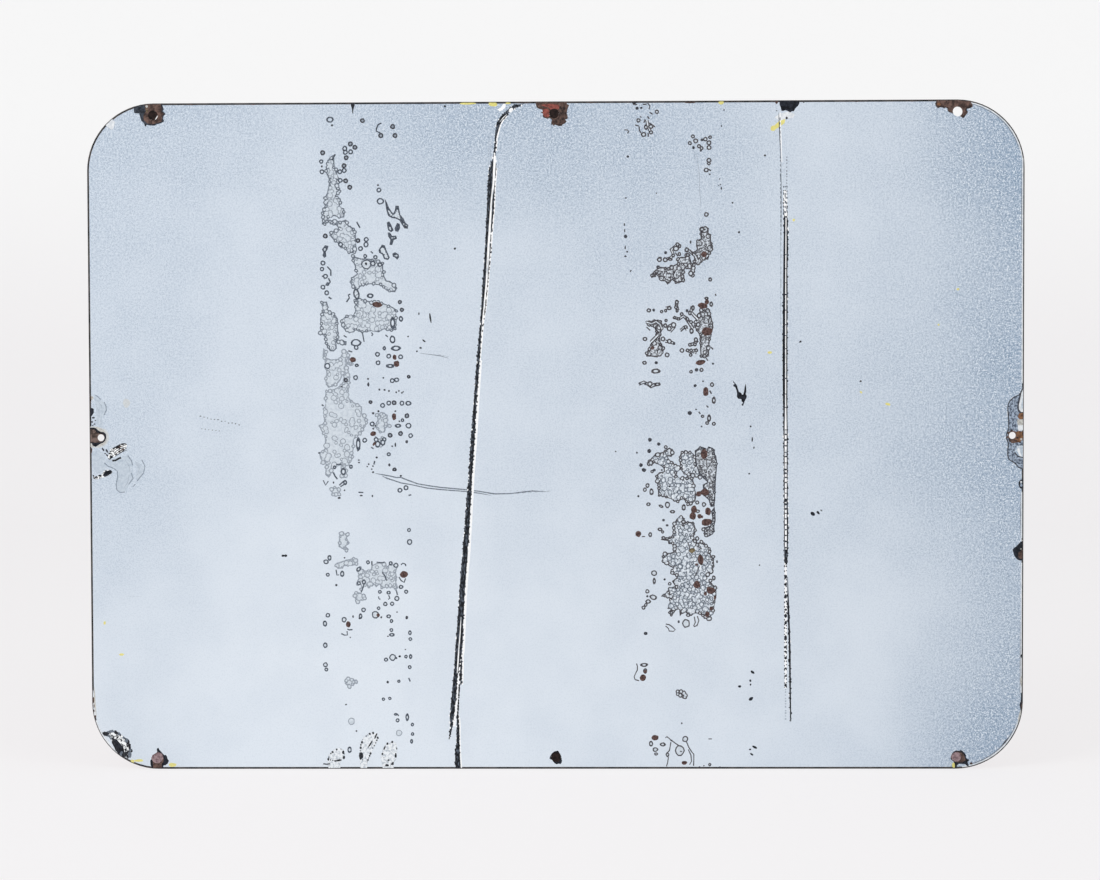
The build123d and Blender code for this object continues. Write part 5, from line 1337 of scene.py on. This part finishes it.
# %% The flat of the back
finishes = [
    "enamel", "rim", "pale_line_and_highlight", "white_edge", "front", "hole_wall", "ring_line", "residue",
    "residue_faint", "residue_film", "residue_dark", "brown_residue", "brown_film", "grainy_film",
    "blister", "olive_stain", "tan_fringe", "warm_haze", "scuffed", "scuff_line", "soot", "scratch",
    "faint_scratch", "yellow_paint", "chip_wall", "ground_coat", "grey_ground", "pink_stop",
    "brown_coat", "rusty_steel", "drab_rust", "bright_rust", "red_rust", "crazed", "speckled", "frosted",
    "scrape", "white_drag",
]
hole_steps = 32
weld_distance = 1e-4


def hole_outline(x, z, radius):
    angles = [math.tau * k / hole_steps for k in range(hole_steps)]
    return [(x + radius * math.cos(angle), z + radius * math.sin(angle)) for angle in angles]


regions = [rounded_sheet(edge_round)] + [hole_outline(*hole) for hole in holes]
first_mark = len(regions)
regions += [mark.outline for mark in marks]
corners, outlines = [], []
for region in regions:
    outlines.append(list(range(len(corners), len(corners) + len(region))))
    corners += [Vector(p) for p in region]
flat_points, _, flat_faces, _, _, held_by = delaunay_2d_cdt(
    corners, [], outlines, 1, weld_distance, True)
print("points on the back:", len(flat_points), "triangles:", len(flat_faces))


def finish_and_depth(holders):
    """What the marks that hold a triangle make of it."""
    held = [index - first_mark for index in holders if index >= first_mark]
    if not held:
        return "enamel", 0
    return marks[max(held)].finish, max(marks[index].depth for index in held)


sheet = bmesh.new()
point_depth = [0] * len(flat_points)
kept = []
for face, holders in zip(flat_faces, held_by):
    if 0 not in holders or any(index in holders for index in range(1, first_mark)):
        continue
    finish, depth = finish_and_depth(holders)
    kept.append((face, finish))
    for point in face:
        point_depth[point] = max(point_depth[point], depth)
used = sorted({point for face, _ in kept for point in face})
place_of = {}
for point in used:
    x, z = flat_points[point]
    place_of[point] = sheet.verts.new((x, point_depth[point], z))
for face, finish in kept:
    made = sheet.faces.new([place_of[point] for point in face])
    made.material_index = finishes.index(finish)
sheet.normal_update()
if sum(face.normal.y for face in sheet.faces) > 0:
    bmesh.ops.reverse_faces(sheet, faces=sheet.faces[:])
print("faces of the back:", len(sheet.faces))

# %% [markdown]
# ## The rolled edge, the holes and the front
#
# The open border of the back is extruded in steps. Each step moves it out and back along a
# quarter round, over the edge of the sheet, and round again to the front. The hole borders are
# extruded straight through, with a small slope at the front. What is left is one flat loop with
# eight holes, which `triangle_fill` closes.

# %% Extrude the borders
def border_loops():
    """The open edges, those of the sheet first and then those of each hole."""
    outer, inner = [], []
    for edge in sheet.edges:
        if not edge.is_boundary:
            continue
        middle = (edge.verts[0].co + edge.verts[1].co) / 2
        near_hole = any(math.hypot(middle.x - x, middle.z - z) < radius * 1.2 for x, z, radius in holes)
        (inner if near_hole else outer).append(edge)
    return outer, inner


def pull(edges, place, finish, smooth):
    """Extrudes the border once. The place function says where each corner goes."""
    grown = bmesh.ops.extrude_edge_only(sheet, edges=edges)["geom"]
    new_edges = [g for g in grown if isinstance(g, bmesh.types.BMEdge)]
    for vert in {v for g in new_edges for v in g.verts}:
        vert.co = place(vert.co)
    for face in (g for g in grown if isinstance(g, bmesh.types.BMFace)):
        face.material_index = finishes.index(finish)
        face.smooth = smooth
    return new_edges


def rolled(reach, y):
    """Where a corner of the border lies at this reach in from the edge."""
    def place(co):
        core_x = max(-right + corner_radius, min(right - corner_radius, co.x))
        core_z = max(-top + corner_radius, min(top - corner_radius, co.z))
        out_x, out_z = co.x - core_x, co.z - core_z
        length = math.hypot(out_x, out_z)
        scale = (corner_radius - reach) / length
        return Vector((core_x + out_x * scale, max(y, co.y), core_z + out_z * scale))
    return place


outer_edges, inner_edges = border_loops()
roll_steps = 4
for step in range(1, roll_steps + 1):
    angle = math.pi / 2 * step / roll_steps
    place = rolled(edge_round * (1 - math.sin(angle)), edge_round * (1 - math.cos(angle)))
    outer_edges = pull(outer_edges, place, "rim", True)
for step in range(roll_steps + 1):
    angle = math.pi / 2 * step / roll_steps
    place = rolled(edge_round * (1 - math.cos(angle)), thickness - edge_round * (1 - math.sin(angle)))
    outer_edges = pull(outer_edges, place, "rim", True)


def nearest_hole(co):
    return min(holes, key=lambda hole: math.hypot(co.x - hole[0], co.z - hole[1]))


def through(co):
    return Vector((co.x, thickness - hole_rim_bevel, co.z))


def flared(co):
    x, z, radius = nearest_hole(co)
    grow = (radius + hole_rim_bevel) / radius
    return Vector((x + (co.x - x) * grow, thickness, z + (co.z - z) * grow))


inner_edges = pull(inner_edges, through, "hole_wall", True)
inner_edges = pull(inner_edges, flared, "front", False)
front = bmesh.ops.triangle_fill(sheet, edges=outer_edges + inner_edges, use_beauty=True,
                                use_dissolve=False)
for face in (g for g in front["geom"] if isinstance(g, bmesh.types.BMFace)):
    face.material_index = finishes.index("front")
bmesh.ops.recalc_face_normals(sheet, faces=sheet.faces[:])
open_edges = sum(1 for edge in sheet.edges if not edge.is_manifold)
print("open or crowded edges:", open_edges)

# %% [markdown]
# ## Make the piece
#
# The bmesh becomes a mesh in metres. Its object stays at the origin, unturned, so that patterns
# on Object coordinates stay where they are, and it stands for the CAD node from here on.

# %% The sign's mesh
bmesh.ops.scale(sheet, vec=(MM, MM, MM), verts=sheet.verts)
sign_mesh = bpy.data.meshes.new("enamel_sign")
sheet.to_mesh(sign_mesh)
sheet.free()
sign = bpy.data.objects.new("enamel_sign", sign_mesh)
bpy.context.scene.collection.objects.link(sign)
print("triangles:", len(sign_mesh.polygons), "corners:", len(sign_mesh.vertices))

# %% [markdown]
# Five of the holes are closed by thin discs, three dark brown and two pinkish grey. Each stop is a
# disc from `create_cone`, set inside the plate. `bisect_plane` takes a slice off the first one, where
# light comes through, and `inset_region` raises and sinks rings on the two pinkish ones.

# %% The stops in the holes
stops = [
    # which hole, finish, rings
    (0, "dark_stop", 0), (1, "dark_stop", 0), (4, "dark_stop", 0), (3, "pink_stop", 3),
    (5, "pink_stop", 1),
]
stop_back, stop_front, stop_gap = 0.35, 1.25, 0.04
stop_ring_width, stop_ring_depth = 0.55, 0.12
slit_across, slit_up, slit_normal = 2.06, -1.33, (0.84, 0, -0.54)
stop_discs = bmesh.new()
for which, finish, ring_count in stops:
    x, z, radius = holes[which]
    radius -= stop_gap
    middle = Matrix.Translation((x, (stop_back + stop_front) / 2, z))
    made = bmesh.ops.create_cone(stop_discs, cap_ends=True, segments=hole_steps, radius1=radius,
                                 radius2=radius, depth=stop_front - stop_back,
                                 matrix=middle @ Matrix.Rotation(math.pi / 2, 4, "X"))["verts"]
    faces = {face for vert in made for face in vert.link_faces}
    if which == 0:
        parts = list(faces) + list({edge for vert in made for edge in vert.link_edges}) + made
        cut = bmesh.ops.bisect_plane(stop_discs, geom=parts, plane_co=(x + slit_across, 0, z + slit_up),
                                     plane_no=slit_normal, clear_outer=True)["geom_cut"]
        rim = [g for g in cut if isinstance(g, bmesh.types.BMEdge)]
        closed = bmesh.ops.holes_fill(stop_discs, edges=rim)["faces"]
        faces = {face for face in faces if face.is_valid} | set(closed)
    for face in faces:
        face.material_index = 0 if finish == "dark_stop" else 1
    for ring_step in range(ring_count):
        backs = []
        for face in stop_discs.faces:
            centre = face.calc_center_median()
            if math.hypot(centre.x - x, centre.z - z) < 0.5 and face.normal.y < -0.9:
                backs.append(face)
        back = min(backs, key=lambda face: face.calc_area())
        bmesh.ops.inset_region(stop_discs, faces=[back], thickness=stop_ring_width,
                               depth=stop_ring_depth if ring_step % 2 else -stop_ring_depth)
bmesh.ops.recalc_face_normals(stop_discs, faces=stop_discs.faces[:])
print("open edges of the stops:", sum(1 for edge in stop_discs.edges if not edge.is_manifold))
bmesh.ops.scale(stop_discs, vec=(MM, MM, MM), verts=stop_discs.verts)
stop_mesh = bpy.data.meshes.new("hole_stops")
stop_discs.to_mesh(stop_mesh)
stop_discs.free()
hole_stops = bpy.data.objects.new("hole_stops", stop_mesh)
bpy.context.scene.collection.objects.link(hole_stops)

# %% [markdown]
# ## Finishes
#
# Colours are written as a paint chart gives them, out of 255. Blender works with light, not with
# chart values, so `paint` turns one into the other. Two node groups make the effects that many
# finishes share. One mixes two tones by a grain. The other makes the sprayed coat: white flecks
# and dark pores on a pale blue-grey, which turns darker, with more of both, where less enamel
# landed and where shade is painted into it.

# %% Small helpers for node trees
def paint(red, green, blue):
    """A chart colour as linear light."""
    channels = []
    for value in (red, green, blue):
        share = value / 255
        channels.append(share / 12.92 if share <= 0.04045 else ((share + 0.055) / 1.055) ** 2.4)
    return (*channels, 1)


def put(tree, kind, **settings):
    """A new node with its settings."""
    made = tree.nodes.new(kind)
    for name, value in settings.items():
        setattr(made, name, value)
    return made


def wire(tree, source, target):
    """Joins an output to an input, or sets the input to a plain value."""
    if isinstance(source, bpy.types.NodeSocket):
        tree.links.new(source, target)
    else:
        target.default_value = source


def sum_up(tree, operation, first, second=0, clamp=False):
    """One sum of two values."""
    made = put(tree, "ShaderNodeMath", operation=operation, use_clamp=clamp)
    wire(tree, first, made.inputs[0])
    wire(tree, second, made.inputs[1])
    return made.outputs[0]


def spread(tree, value, low, high, out_low=0, out_high=1):
    """Stretches a value from one range to another, with soft ends."""
    made = put(tree, "ShaderNodeMapRange", interpolation_type="SMOOTHSTEP")
    wire(tree, value, made.inputs["Value"])
    ends = {"From Min": low, "From Max": high, "To Min": out_low, "To Max": out_high}
    for name, number in ends.items():
        wire(tree, number, made.inputs[name])
    return made.outputs["Result"]


def blend_colours(tree, share, first, second):
    """The first colour at share 0 and the second at share 1."""
    made = put(tree, "ShaderNodeMix", data_type="RGBA")
    wire(tree, share, made.inputs[0])
    wire(tree, first, made.inputs[6])
    wire(tree, second, made.inputs[7])
    return made.outputs[2]


def noise(tree, place, scale, detail=2, roughness=0.5):
    """A noise value at a place."""
    made = put(tree, "ShaderNodeTexNoise")
    wire(tree, place, made.inputs["Vector"])
    wire(tree, scale, made.inputs["Scale"])
    made.inputs["Detail"].default_value = detail
    made.inputs["Roughness"].default_value = roughness
    return made.outputs["Fac"]


def new_group(name, takes, gives):
    """An empty shader group with its sockets."""
    tree = bpy.data.node_groups.new(name, "ShaderNodeTree")
    for label, kind in takes:
        tree.interface.new_socket(label, in_out="INPUT", socket_type=kind)
    for label, kind in gives:
        tree.interface.new_socket(label, in_out="OUTPUT", socket_type=kind)
    return tree, put(tree, "NodeGroupInput"), put(tree, "NodeGroupOutput")


# %% Group: two tones mixed by a grain
two_tones, given, result = new_group(
    "two tones",
    [("Light", "NodeSocketColor"), ("Dark", "NodeSocketColor"), ("Scale", "NodeSocketFloat"),
     ("Low", "NodeSocketFloat"), ("High", "NodeSocketFloat"), ("Stretch", "NodeSocketVector")],
    [("Color", "NodeSocketColor"), ("Mask", "NodeSocketFloat")],
)
place = put(two_tones, "ShaderNodeTexCoord").outputs["Object"]
stretched = put(two_tones, "ShaderNodeVectorMath", operation="MULTIPLY")
wire(two_tones, place, stretched.inputs[0])
wire(two_tones, given.outputs["Stretch"], stretched.inputs[1])
grain = noise(two_tones, stretched.outputs[0], given.outputs["Scale"], detail=4, roughness=0.6)
mask = spread(two_tones, grain, given.outputs["Low"], given.outputs["High"])
wire(two_tones, blend_colours(two_tones, mask, given.outputs["Dark"], given.outputs["Light"]),
     result.inputs["Color"])
wire(two_tones, mask, result.inputs["Mask"])

# %% [markdown]
# The coat darkens toward the right-hand edge, along the top and in a few soft clouds. This is
# partly a thinner coat, where the spray gun swept less, and partly painted shade. Each slope runs
# along one direction, and each cloud is a smooth hill round a named place. Their sum is the
# thinness and painted shade. It darkens the base, and it brings out the flecks.

# %% Group: the sprayed coat, with painted shade
slopes = [
    # along, from, to (in mm), how thin and shaded
    ("X", 150, 330, 0.41), ("X", -250, 200, 0.16), ("X", -130, -310, 0.16), ("Z", -200, 60, 0.21),
    ("Z", 60, 230, 0.13),
]
clouds = [
    # across, up, half width, half height (all in mm), how thin and shaded
    (-50, 225, 150, 110, 0.27), (-245, 215, 70, 70, 0.1), (60, 190, 120, 120, 0.09),
    (310, -215, 110, 120, 0.42), (310, 20, 60, 200, 0.15), (-300, -40, 90, 120, 0.1),
    (230, -110, 90, 130, -0.09), (230, 200, 170, 230, -0.24), (300, 200, 80, 90, 0.26),
]
tree, given, result = new_group("sprayed coat", [], [("Color", "NodeSocketColor")])
place = put(tree, "ShaderNodeTexCoord").outputs["Object"]
axes = put(tree, "ShaderNodeSeparateXYZ")
wire(tree, place, axes.inputs[0])
# `thin` is the sum of the slopes and clouds: partly a thinner coat, partly painted shade.
thin = -0.02  # what the slopes and clouds are added to
for axis, start, end, strength in slopes:
    slope = spread(tree, axes.outputs[axis], start * MM, end * MM, 0, strength)
    thin = sum_up(tree, "ADD", thin, slope)
for x, z, half_width, half_height, strength in clouds:
    shifted = put(tree, "ShaderNodeMapping", vector_type="TEXTURE")
    shifted.inputs["Location"].default_value = (x * MM, 0, z * MM)
    shifted.inputs["Scale"].default_value = (half_width * MM, 1, half_height * MM)
    wire(tree, place, shifted.inputs["Vector"])
    far = put(tree, "ShaderNodeVectorMath", operation="LENGTH")
    wire(tree, shifted.outputs[0], far.inputs[0])
    thin = sum_up(tree, "ADD", thin, spread(tree, far.outputs["Value"], 1, 0, 0, strength))
drift = spread(tree, noise(tree, place, 22, detail=4), 0.3, 0.7, -0.05, 0.05)
thin = sum_up(tree, "ADD", thin, drift, clamp=True)
thick_coat, thin_and_shaded_coat, fleck_white, pore_dark = (
    paint(227, 234, 242), paint(140, 163, 188), paint(232, 238, 245), paint(112, 132, 156))
fine_scale, coarse_scale, broad_scale = 1450, 760, 300
fine_share, broad_share = 1.4, 0.2
thin_and_shaded_from, thin_and_shaded_to = 0.08, 0.86
fleck_from, fleck_to, pore_from, pore_to = 1.28, 1.56, 1.32, 1.04
base = blend_colours(tree, thin, thick_coat, thin_and_shaded_coat)
fine = noise(tree, place, fine_scale, roughness=0.6)
coarse = noise(tree, place, coarse_scale, roughness=0.6)
broad = noise(tree, place, broad_scale, detail=1)
grains = sum_up(tree, "ADD", sum_up(tree, "MULTIPLY", fine, fine_share), coarse)
grains = sum_up(tree, "ADD", grains, sum_up(tree, "MULTIPLY", broad, broad_share))
fleck = sum_up(tree, "MULTIPLY", spread(tree, grains, fleck_from, fleck_to),
               spread(tree, thin, thin_and_shaded_from, thin_and_shaded_to, 0.14, 1))
pore = sum_up(tree, "MULTIPLY", spread(tree, grains, pore_from, pore_to),
              spread(tree, thin, thin_and_shaded_from, thin_and_shaded_to, 0.08, 0.78))
coat = blend_colours(tree, fleck, base, fleck_white)
coat = blend_colours(tree, pore, coat, pore_dark)
wire(tree, coat, result.inputs["Color"])
sprayed_coat_and_shade = tree

# %% [markdown]
# Every finish is a Principled BSDF of its own. Its colour comes from the groups, and its bump
# from a grain. Roughness and gloss are plain numbers on the shader itself.

# %% Finishes on their own colours
grain_depth, coat_grain_depth = 0.00004, 0.00003
palette = {}


def new_finish(name, roughness):
    """A material with its tree and its Principled BSDF."""
    material = bpy.data.materials.new(name)
    material.use_nodes = True
    tree = material.node_tree
    shader = tree.nodes["Principled BSDF"]
    shader.inputs["Roughness"].default_value = roughness
    return material, tree, shader


def bump(tree, shader, height, strength, distance):
    """A small relief from a height value."""
    relief = put(tree, "ShaderNodeBump")
    relief.inputs["Strength"].default_value = strength
    relief.inputs["Distance"].default_value = distance
    wire(tree, height, relief.inputs["Height"])
    wire(tree, relief.outputs["Normal"], shader.inputs["Normal"])


def toned(finish, light, dark, scale, low=0.38, high=0.62, stretch=(1, 1, 1), name=None,
          roughness=0.6, relief=0.3, over_coat=0, gloss=0.2):
    """A finish of two tones. Over the coat, it lets that share of the coat show through."""
    material, tree, shader = new_finish(name or finish.replace("_", " "), roughness)
    shader.inputs["Specular IOR Level"].default_value = gloss
    tones = put(tree, "ShaderNodeGroup", node_tree=two_tones)
    settings = {"Light": paint(*light), "Dark": paint(*dark), "Scale": scale, "Low": low, "High": high,
                "Stretch": stretch}
    for socket, value in settings.items():
        tones.inputs[socket].default_value = value
    colour = tones.outputs["Color"]
    if over_coat:
        below = put(tree, "ShaderNodeGroup", node_tree=sprayed_coat_and_shade)
        colour = blend_colours(tree, over_coat, colour, below.outputs["Color"])
    wire(tree, colour, shader.inputs["Base Color"])
    bump(tree, shader, tones.outputs["Mask"], relief, grain_depth)
    palette[finish] = material


def coated():
    """The sound enamel."""
    material, tree, shader = new_finish("enamel", 0.38)
    below = put(tree, "ShaderNodeGroup", node_tree=sprayed_coat_and_shade)
    wire(tree, below.outputs["Color"], shader.inputs["Base Color"])
    place = put(tree, "ShaderNodeTexCoord").outputs["Object"]
    bump(tree, shader, noise(tree, place, 900, detail=3), 0.25, coat_grain_depth)
    return material


palette["enamel"] = coated()
toned("rim", (70, 65, 64), (26, 26, 30), 160, roughness=0.45, gloss=0.3)
# Pale line finish: pale marks in chips, and the painted highlight along the edge bead.
toned("pale_line_and_highlight", (238, 240, 242), (214, 218, 222), 300, over_coat=0.15)
toned("white_edge", (255, 255, 255), (249, 250, 252), 300)
toned("front", (162, 29, 25), (156, 27, 24), 60, name="front enamel", roughness=0.28, relief=0.1,
      gloss=0.5)
toned("hole_wall", (120, 78, 66), (48, 34, 32), 700, roughness=0.8)
toned("ring_line", (92, 100, 112), (54, 61, 72), 800)
toned("residue", (112, 121, 133), (76, 84, 96), 900, over_coat=0.05)
toned("residue_faint", (152, 160, 171), (122, 131, 143), 900, over_coat=0.12)
toned("residue_film", (212, 219, 225), (182, 191, 200), 520, 0.34, 0.6, over_coat=0.4)
toned("residue_dark", (84, 86, 94), (40, 42, 50), 900)
toned("brown_residue", (92, 90, 94), (54, 52, 58), 800)
toned("brown_film", (234, 240, 246), (168, 177, 188), 620, 0.36, 0.62, over_coat=0.15)
toned("grainy_film", (216, 223, 231), (110, 113, 119), 760, 0.44, 0.56, over_coat=0.08)
toned("blister", (108, 84, 80), (62, 48, 47), 700, name="rust blister", roughness=0.85, relief=0.8)
toned("olive_stain", (134, 120, 92), (84, 74, 56), 700, roughness=0.8)
toned("tan_fringe", (206, 200, 186), (168, 158, 140), 500, over_coat=0.3)
toned("warm_haze", (214, 211, 202), (198, 196, 188), 420, over_coat=0.5)
toned("scuffed", (200, 209, 218), (174, 186, 198), 420, 0.36, 0.62, over_coat=0.4)
toned("scuff_line", (150, 161, 174), (112, 124, 138), 900, over_coat=0.1)
toned("soot", (56, 58, 64), (24, 26, 32), 900, name="black fleck")
toned("scratch", (140, 149, 160), (88, 96, 108), 1100)
toned("faint_scratch", (168, 178, 190), (130, 140, 154), 1100, over_coat=0.35)
toned("yellow_paint", (240, 226, 78), (226, 212, 72), 500, roughness=0.5, over_coat=0.25)
toned("chip_wall", (140, 148, 158), (60, 66, 76), 500, name="broken enamel edge")
toned("ground_coat", (40, 44, 54), (10, 13, 20), 420, roughness=0.35)
toned("grey_ground", (66, 72, 82), (22, 26, 34), 420, name="grey ground coat", roughness=0.35)
toned("brown_coat", (96, 76, 69), (42, 34, 33), 420, roughness=0.5)
toned("rusty_steel", (118, 94, 86), (60, 48, 45), 330, 0.36, 0.66, roughness=0.85, relief=0.9)
toned("drab_rust", (122, 104, 98), (64, 54, 50), 420, roughness=0.85, relief=0.8)
toned("red_rust", (156, 88, 79), (108, 61, 56), 500, roughness=0.85, relief=0.6)
toned("bright_rust", (140, 102, 76), (92, 66, 52), 500, roughness=0.85, relief=0.6)
toned("crazed", (252, 254, 255), (20, 25, 34), 430, 0.46, 0.52, name="crazed coat", roughness=0.6)
toned("speckled", (168, 182, 200), (78, 88, 104), 700, 0.4, 0.6, name="speckled coat", roughness=0.6)
toned("frosted", (240, 243, 246), (190, 197, 205), 600, 0.38, 0.56, name="frosted hollow", roughness=0.7)
toned("scrape", (104, 113, 126), (16, 19, 26), 900, 0.46, 0.72, (1, 1, 0.45), roughness=0.5)
toned("dark_stop", (44, 32, 30), (24, 18, 17), 500, roughness=0.85)
toned("pink_stop", (164, 140, 143), (120, 98, 102), 500, roughness=0.8)
toned("white_drag", (255, 255, 255), (190, 197, 205), 700, 0.34, 0.48, (1, 1, 0.15))
for finish in finishes:
    sign_mesh.materials.append(palette[finish])
for finish in ("dark_stop", "pink_stop"):
    stop_mesh.materials.append(palette[finish])
print("finishes:", len(palette))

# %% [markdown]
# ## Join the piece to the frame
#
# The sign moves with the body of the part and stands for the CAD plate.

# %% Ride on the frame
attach(sign, "root")
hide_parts("sign_plate")
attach(hole_stops, "root")

# %% [markdown]
# ## The studio
#
# The sign stands on its bottom edge on pale paper that curves up well behind it. The paper is one
# strip that `extrude_edge_only` pulls along a path. Where the camera sees the paper, most of what
# it sees is a plain glow, so the paper looks bright and throws no more light on the sign.

# %% Floor and backdrop
floor_z = -height / 2
cove_front, cove_reach, cove_radius, cove_height, cove_half_width = -3000, 2400, 600, 2600, 3400
cove_steps = 12
glow_share, glow_low, glow_high = 0.8, paint(247, 245, 246), paint(255, 255, 255)
cove = bmesh.new()
front_corners = [cove.verts.new((side * cove_half_width, cove_front, floor_z)) for side in (-1, 1)]
edges = [cove.edges.new(front_corners)]
path = [(cove_reach, floor_z)]
for step in range(1, cove_steps + 1):
    angle = math.pi / 2 * step / cove_steps
    path.append((cove_reach + cove_radius * math.sin(angle),
                 floor_z + cove_radius * (1 - math.cos(angle))))
path.append((cove_reach + cove_radius, cove_height))
for y, z in path:
    grown = bmesh.ops.extrude_edge_only(cove, edges=edges)["geom"]
    edges = [g for g in grown if isinstance(g, bmesh.types.BMEdge)]
    for vert in edges[0].verts:
        vert.co.y, vert.co.z = y, z
for face in cove.faces:
    face.smooth = True
bmesh.ops.scale(cove, vec=(MM, MM, MM), verts=cove.verts)
cove_mesh = bpy.data.meshes.new("backdrop")
cove.to_mesh(cove_mesh)
cove.free()
backdrop = bpy.data.objects.new("backdrop", cove_mesh)
bpy.context.scene.collection.objects.link(backdrop)

paper, tree, shader = new_finish("paper", 0.9)
shader.inputs["Base Color"].default_value = paint(247, 247, 248)
shader.inputs["Specular IOR Level"].default_value = 0
place = put(tree, "ShaderNodeTexCoord").outputs["Object"]
axes = put(tree, "ShaderNodeSeparateXYZ")
wire(tree, place, axes.inputs[0])
# The glow is a little dimmer and warmer low down than higher up: painted shade on the floor and the foot
# of the backdrop.
rise = spread(tree, axes.outputs["Z"], 0, 0.5)
glow = put(tree, "ShaderNodeEmission")
wire(tree, blend_colours(tree, rise, glow_low, glow_high), glow.inputs["Color"])
seen = put(tree, "ShaderNodeLightPath")
seen_share = sum_up(tree, "MAXIMUM", seen.outputs["Is Camera Ray"], seen.outputs["Is Glossy Ray"])
seen_share = sum_up(tree, "MAXIMUM", seen_share, seen.outputs["Is Transmission Ray"])
mixed = put(tree, "ShaderNodeMixShader")
wire(tree, sum_up(tree, "MULTIPLY", seen_share, glow_share), mixed.inputs[0])
wire(tree, shader.outputs[0], mixed.inputs[1])
wire(tree, glow.outputs[0], mixed.inputs[2])
wire(tree, mixed.outputs[0], tree.nodes["Material Output"].inputs["Surface"])
cove_mesh.materials.append(paper)
print("backdrop faces:", len(cove_mesh.polygons))

# %% [markdown]
# Two wide lamps stand left and right in front, and the white world fills the rest. Together they
# are set so that a colour renders about as it is written.

# %% Lamps and world
lamp_size, world_strength = 1.2, 0.55


def soft_lamp(name, place, watts):
    """A wide lamp that looks at the middle of the sign."""
    data = bpy.data.lights.new(name, "AREA")
    data.shape = "SQUARE"
    data.size = lamp_size
    data.energy = watts
    lamp = bpy.data.objects.new(name, data)
    bpy.context.scene.collection.objects.link(lamp)
    lamp.location = place
    lamp.rotation_mode = "QUATERNION"
    lamp.rotation_quaternion = (-Vector(place)).to_track_quat("-Z", "Y")


soft_lamp("left lamp", (-1.6, -1.8, 1.3), watts=26)
soft_lamp("right lamp", (1.7, -1.7, 1.2), watts=12)
world = bpy.data.worlds.new("studio")
world.use_nodes = True
background = world.node_tree.nodes["Background"]
background.inputs["Color"].default_value = (1, 1, 1, 1)
background.inputs["Strength"].default_value = world_strength
bpy.context.scene.world = world
bpy.context.scene.view_settings.view_transform = "Standard"
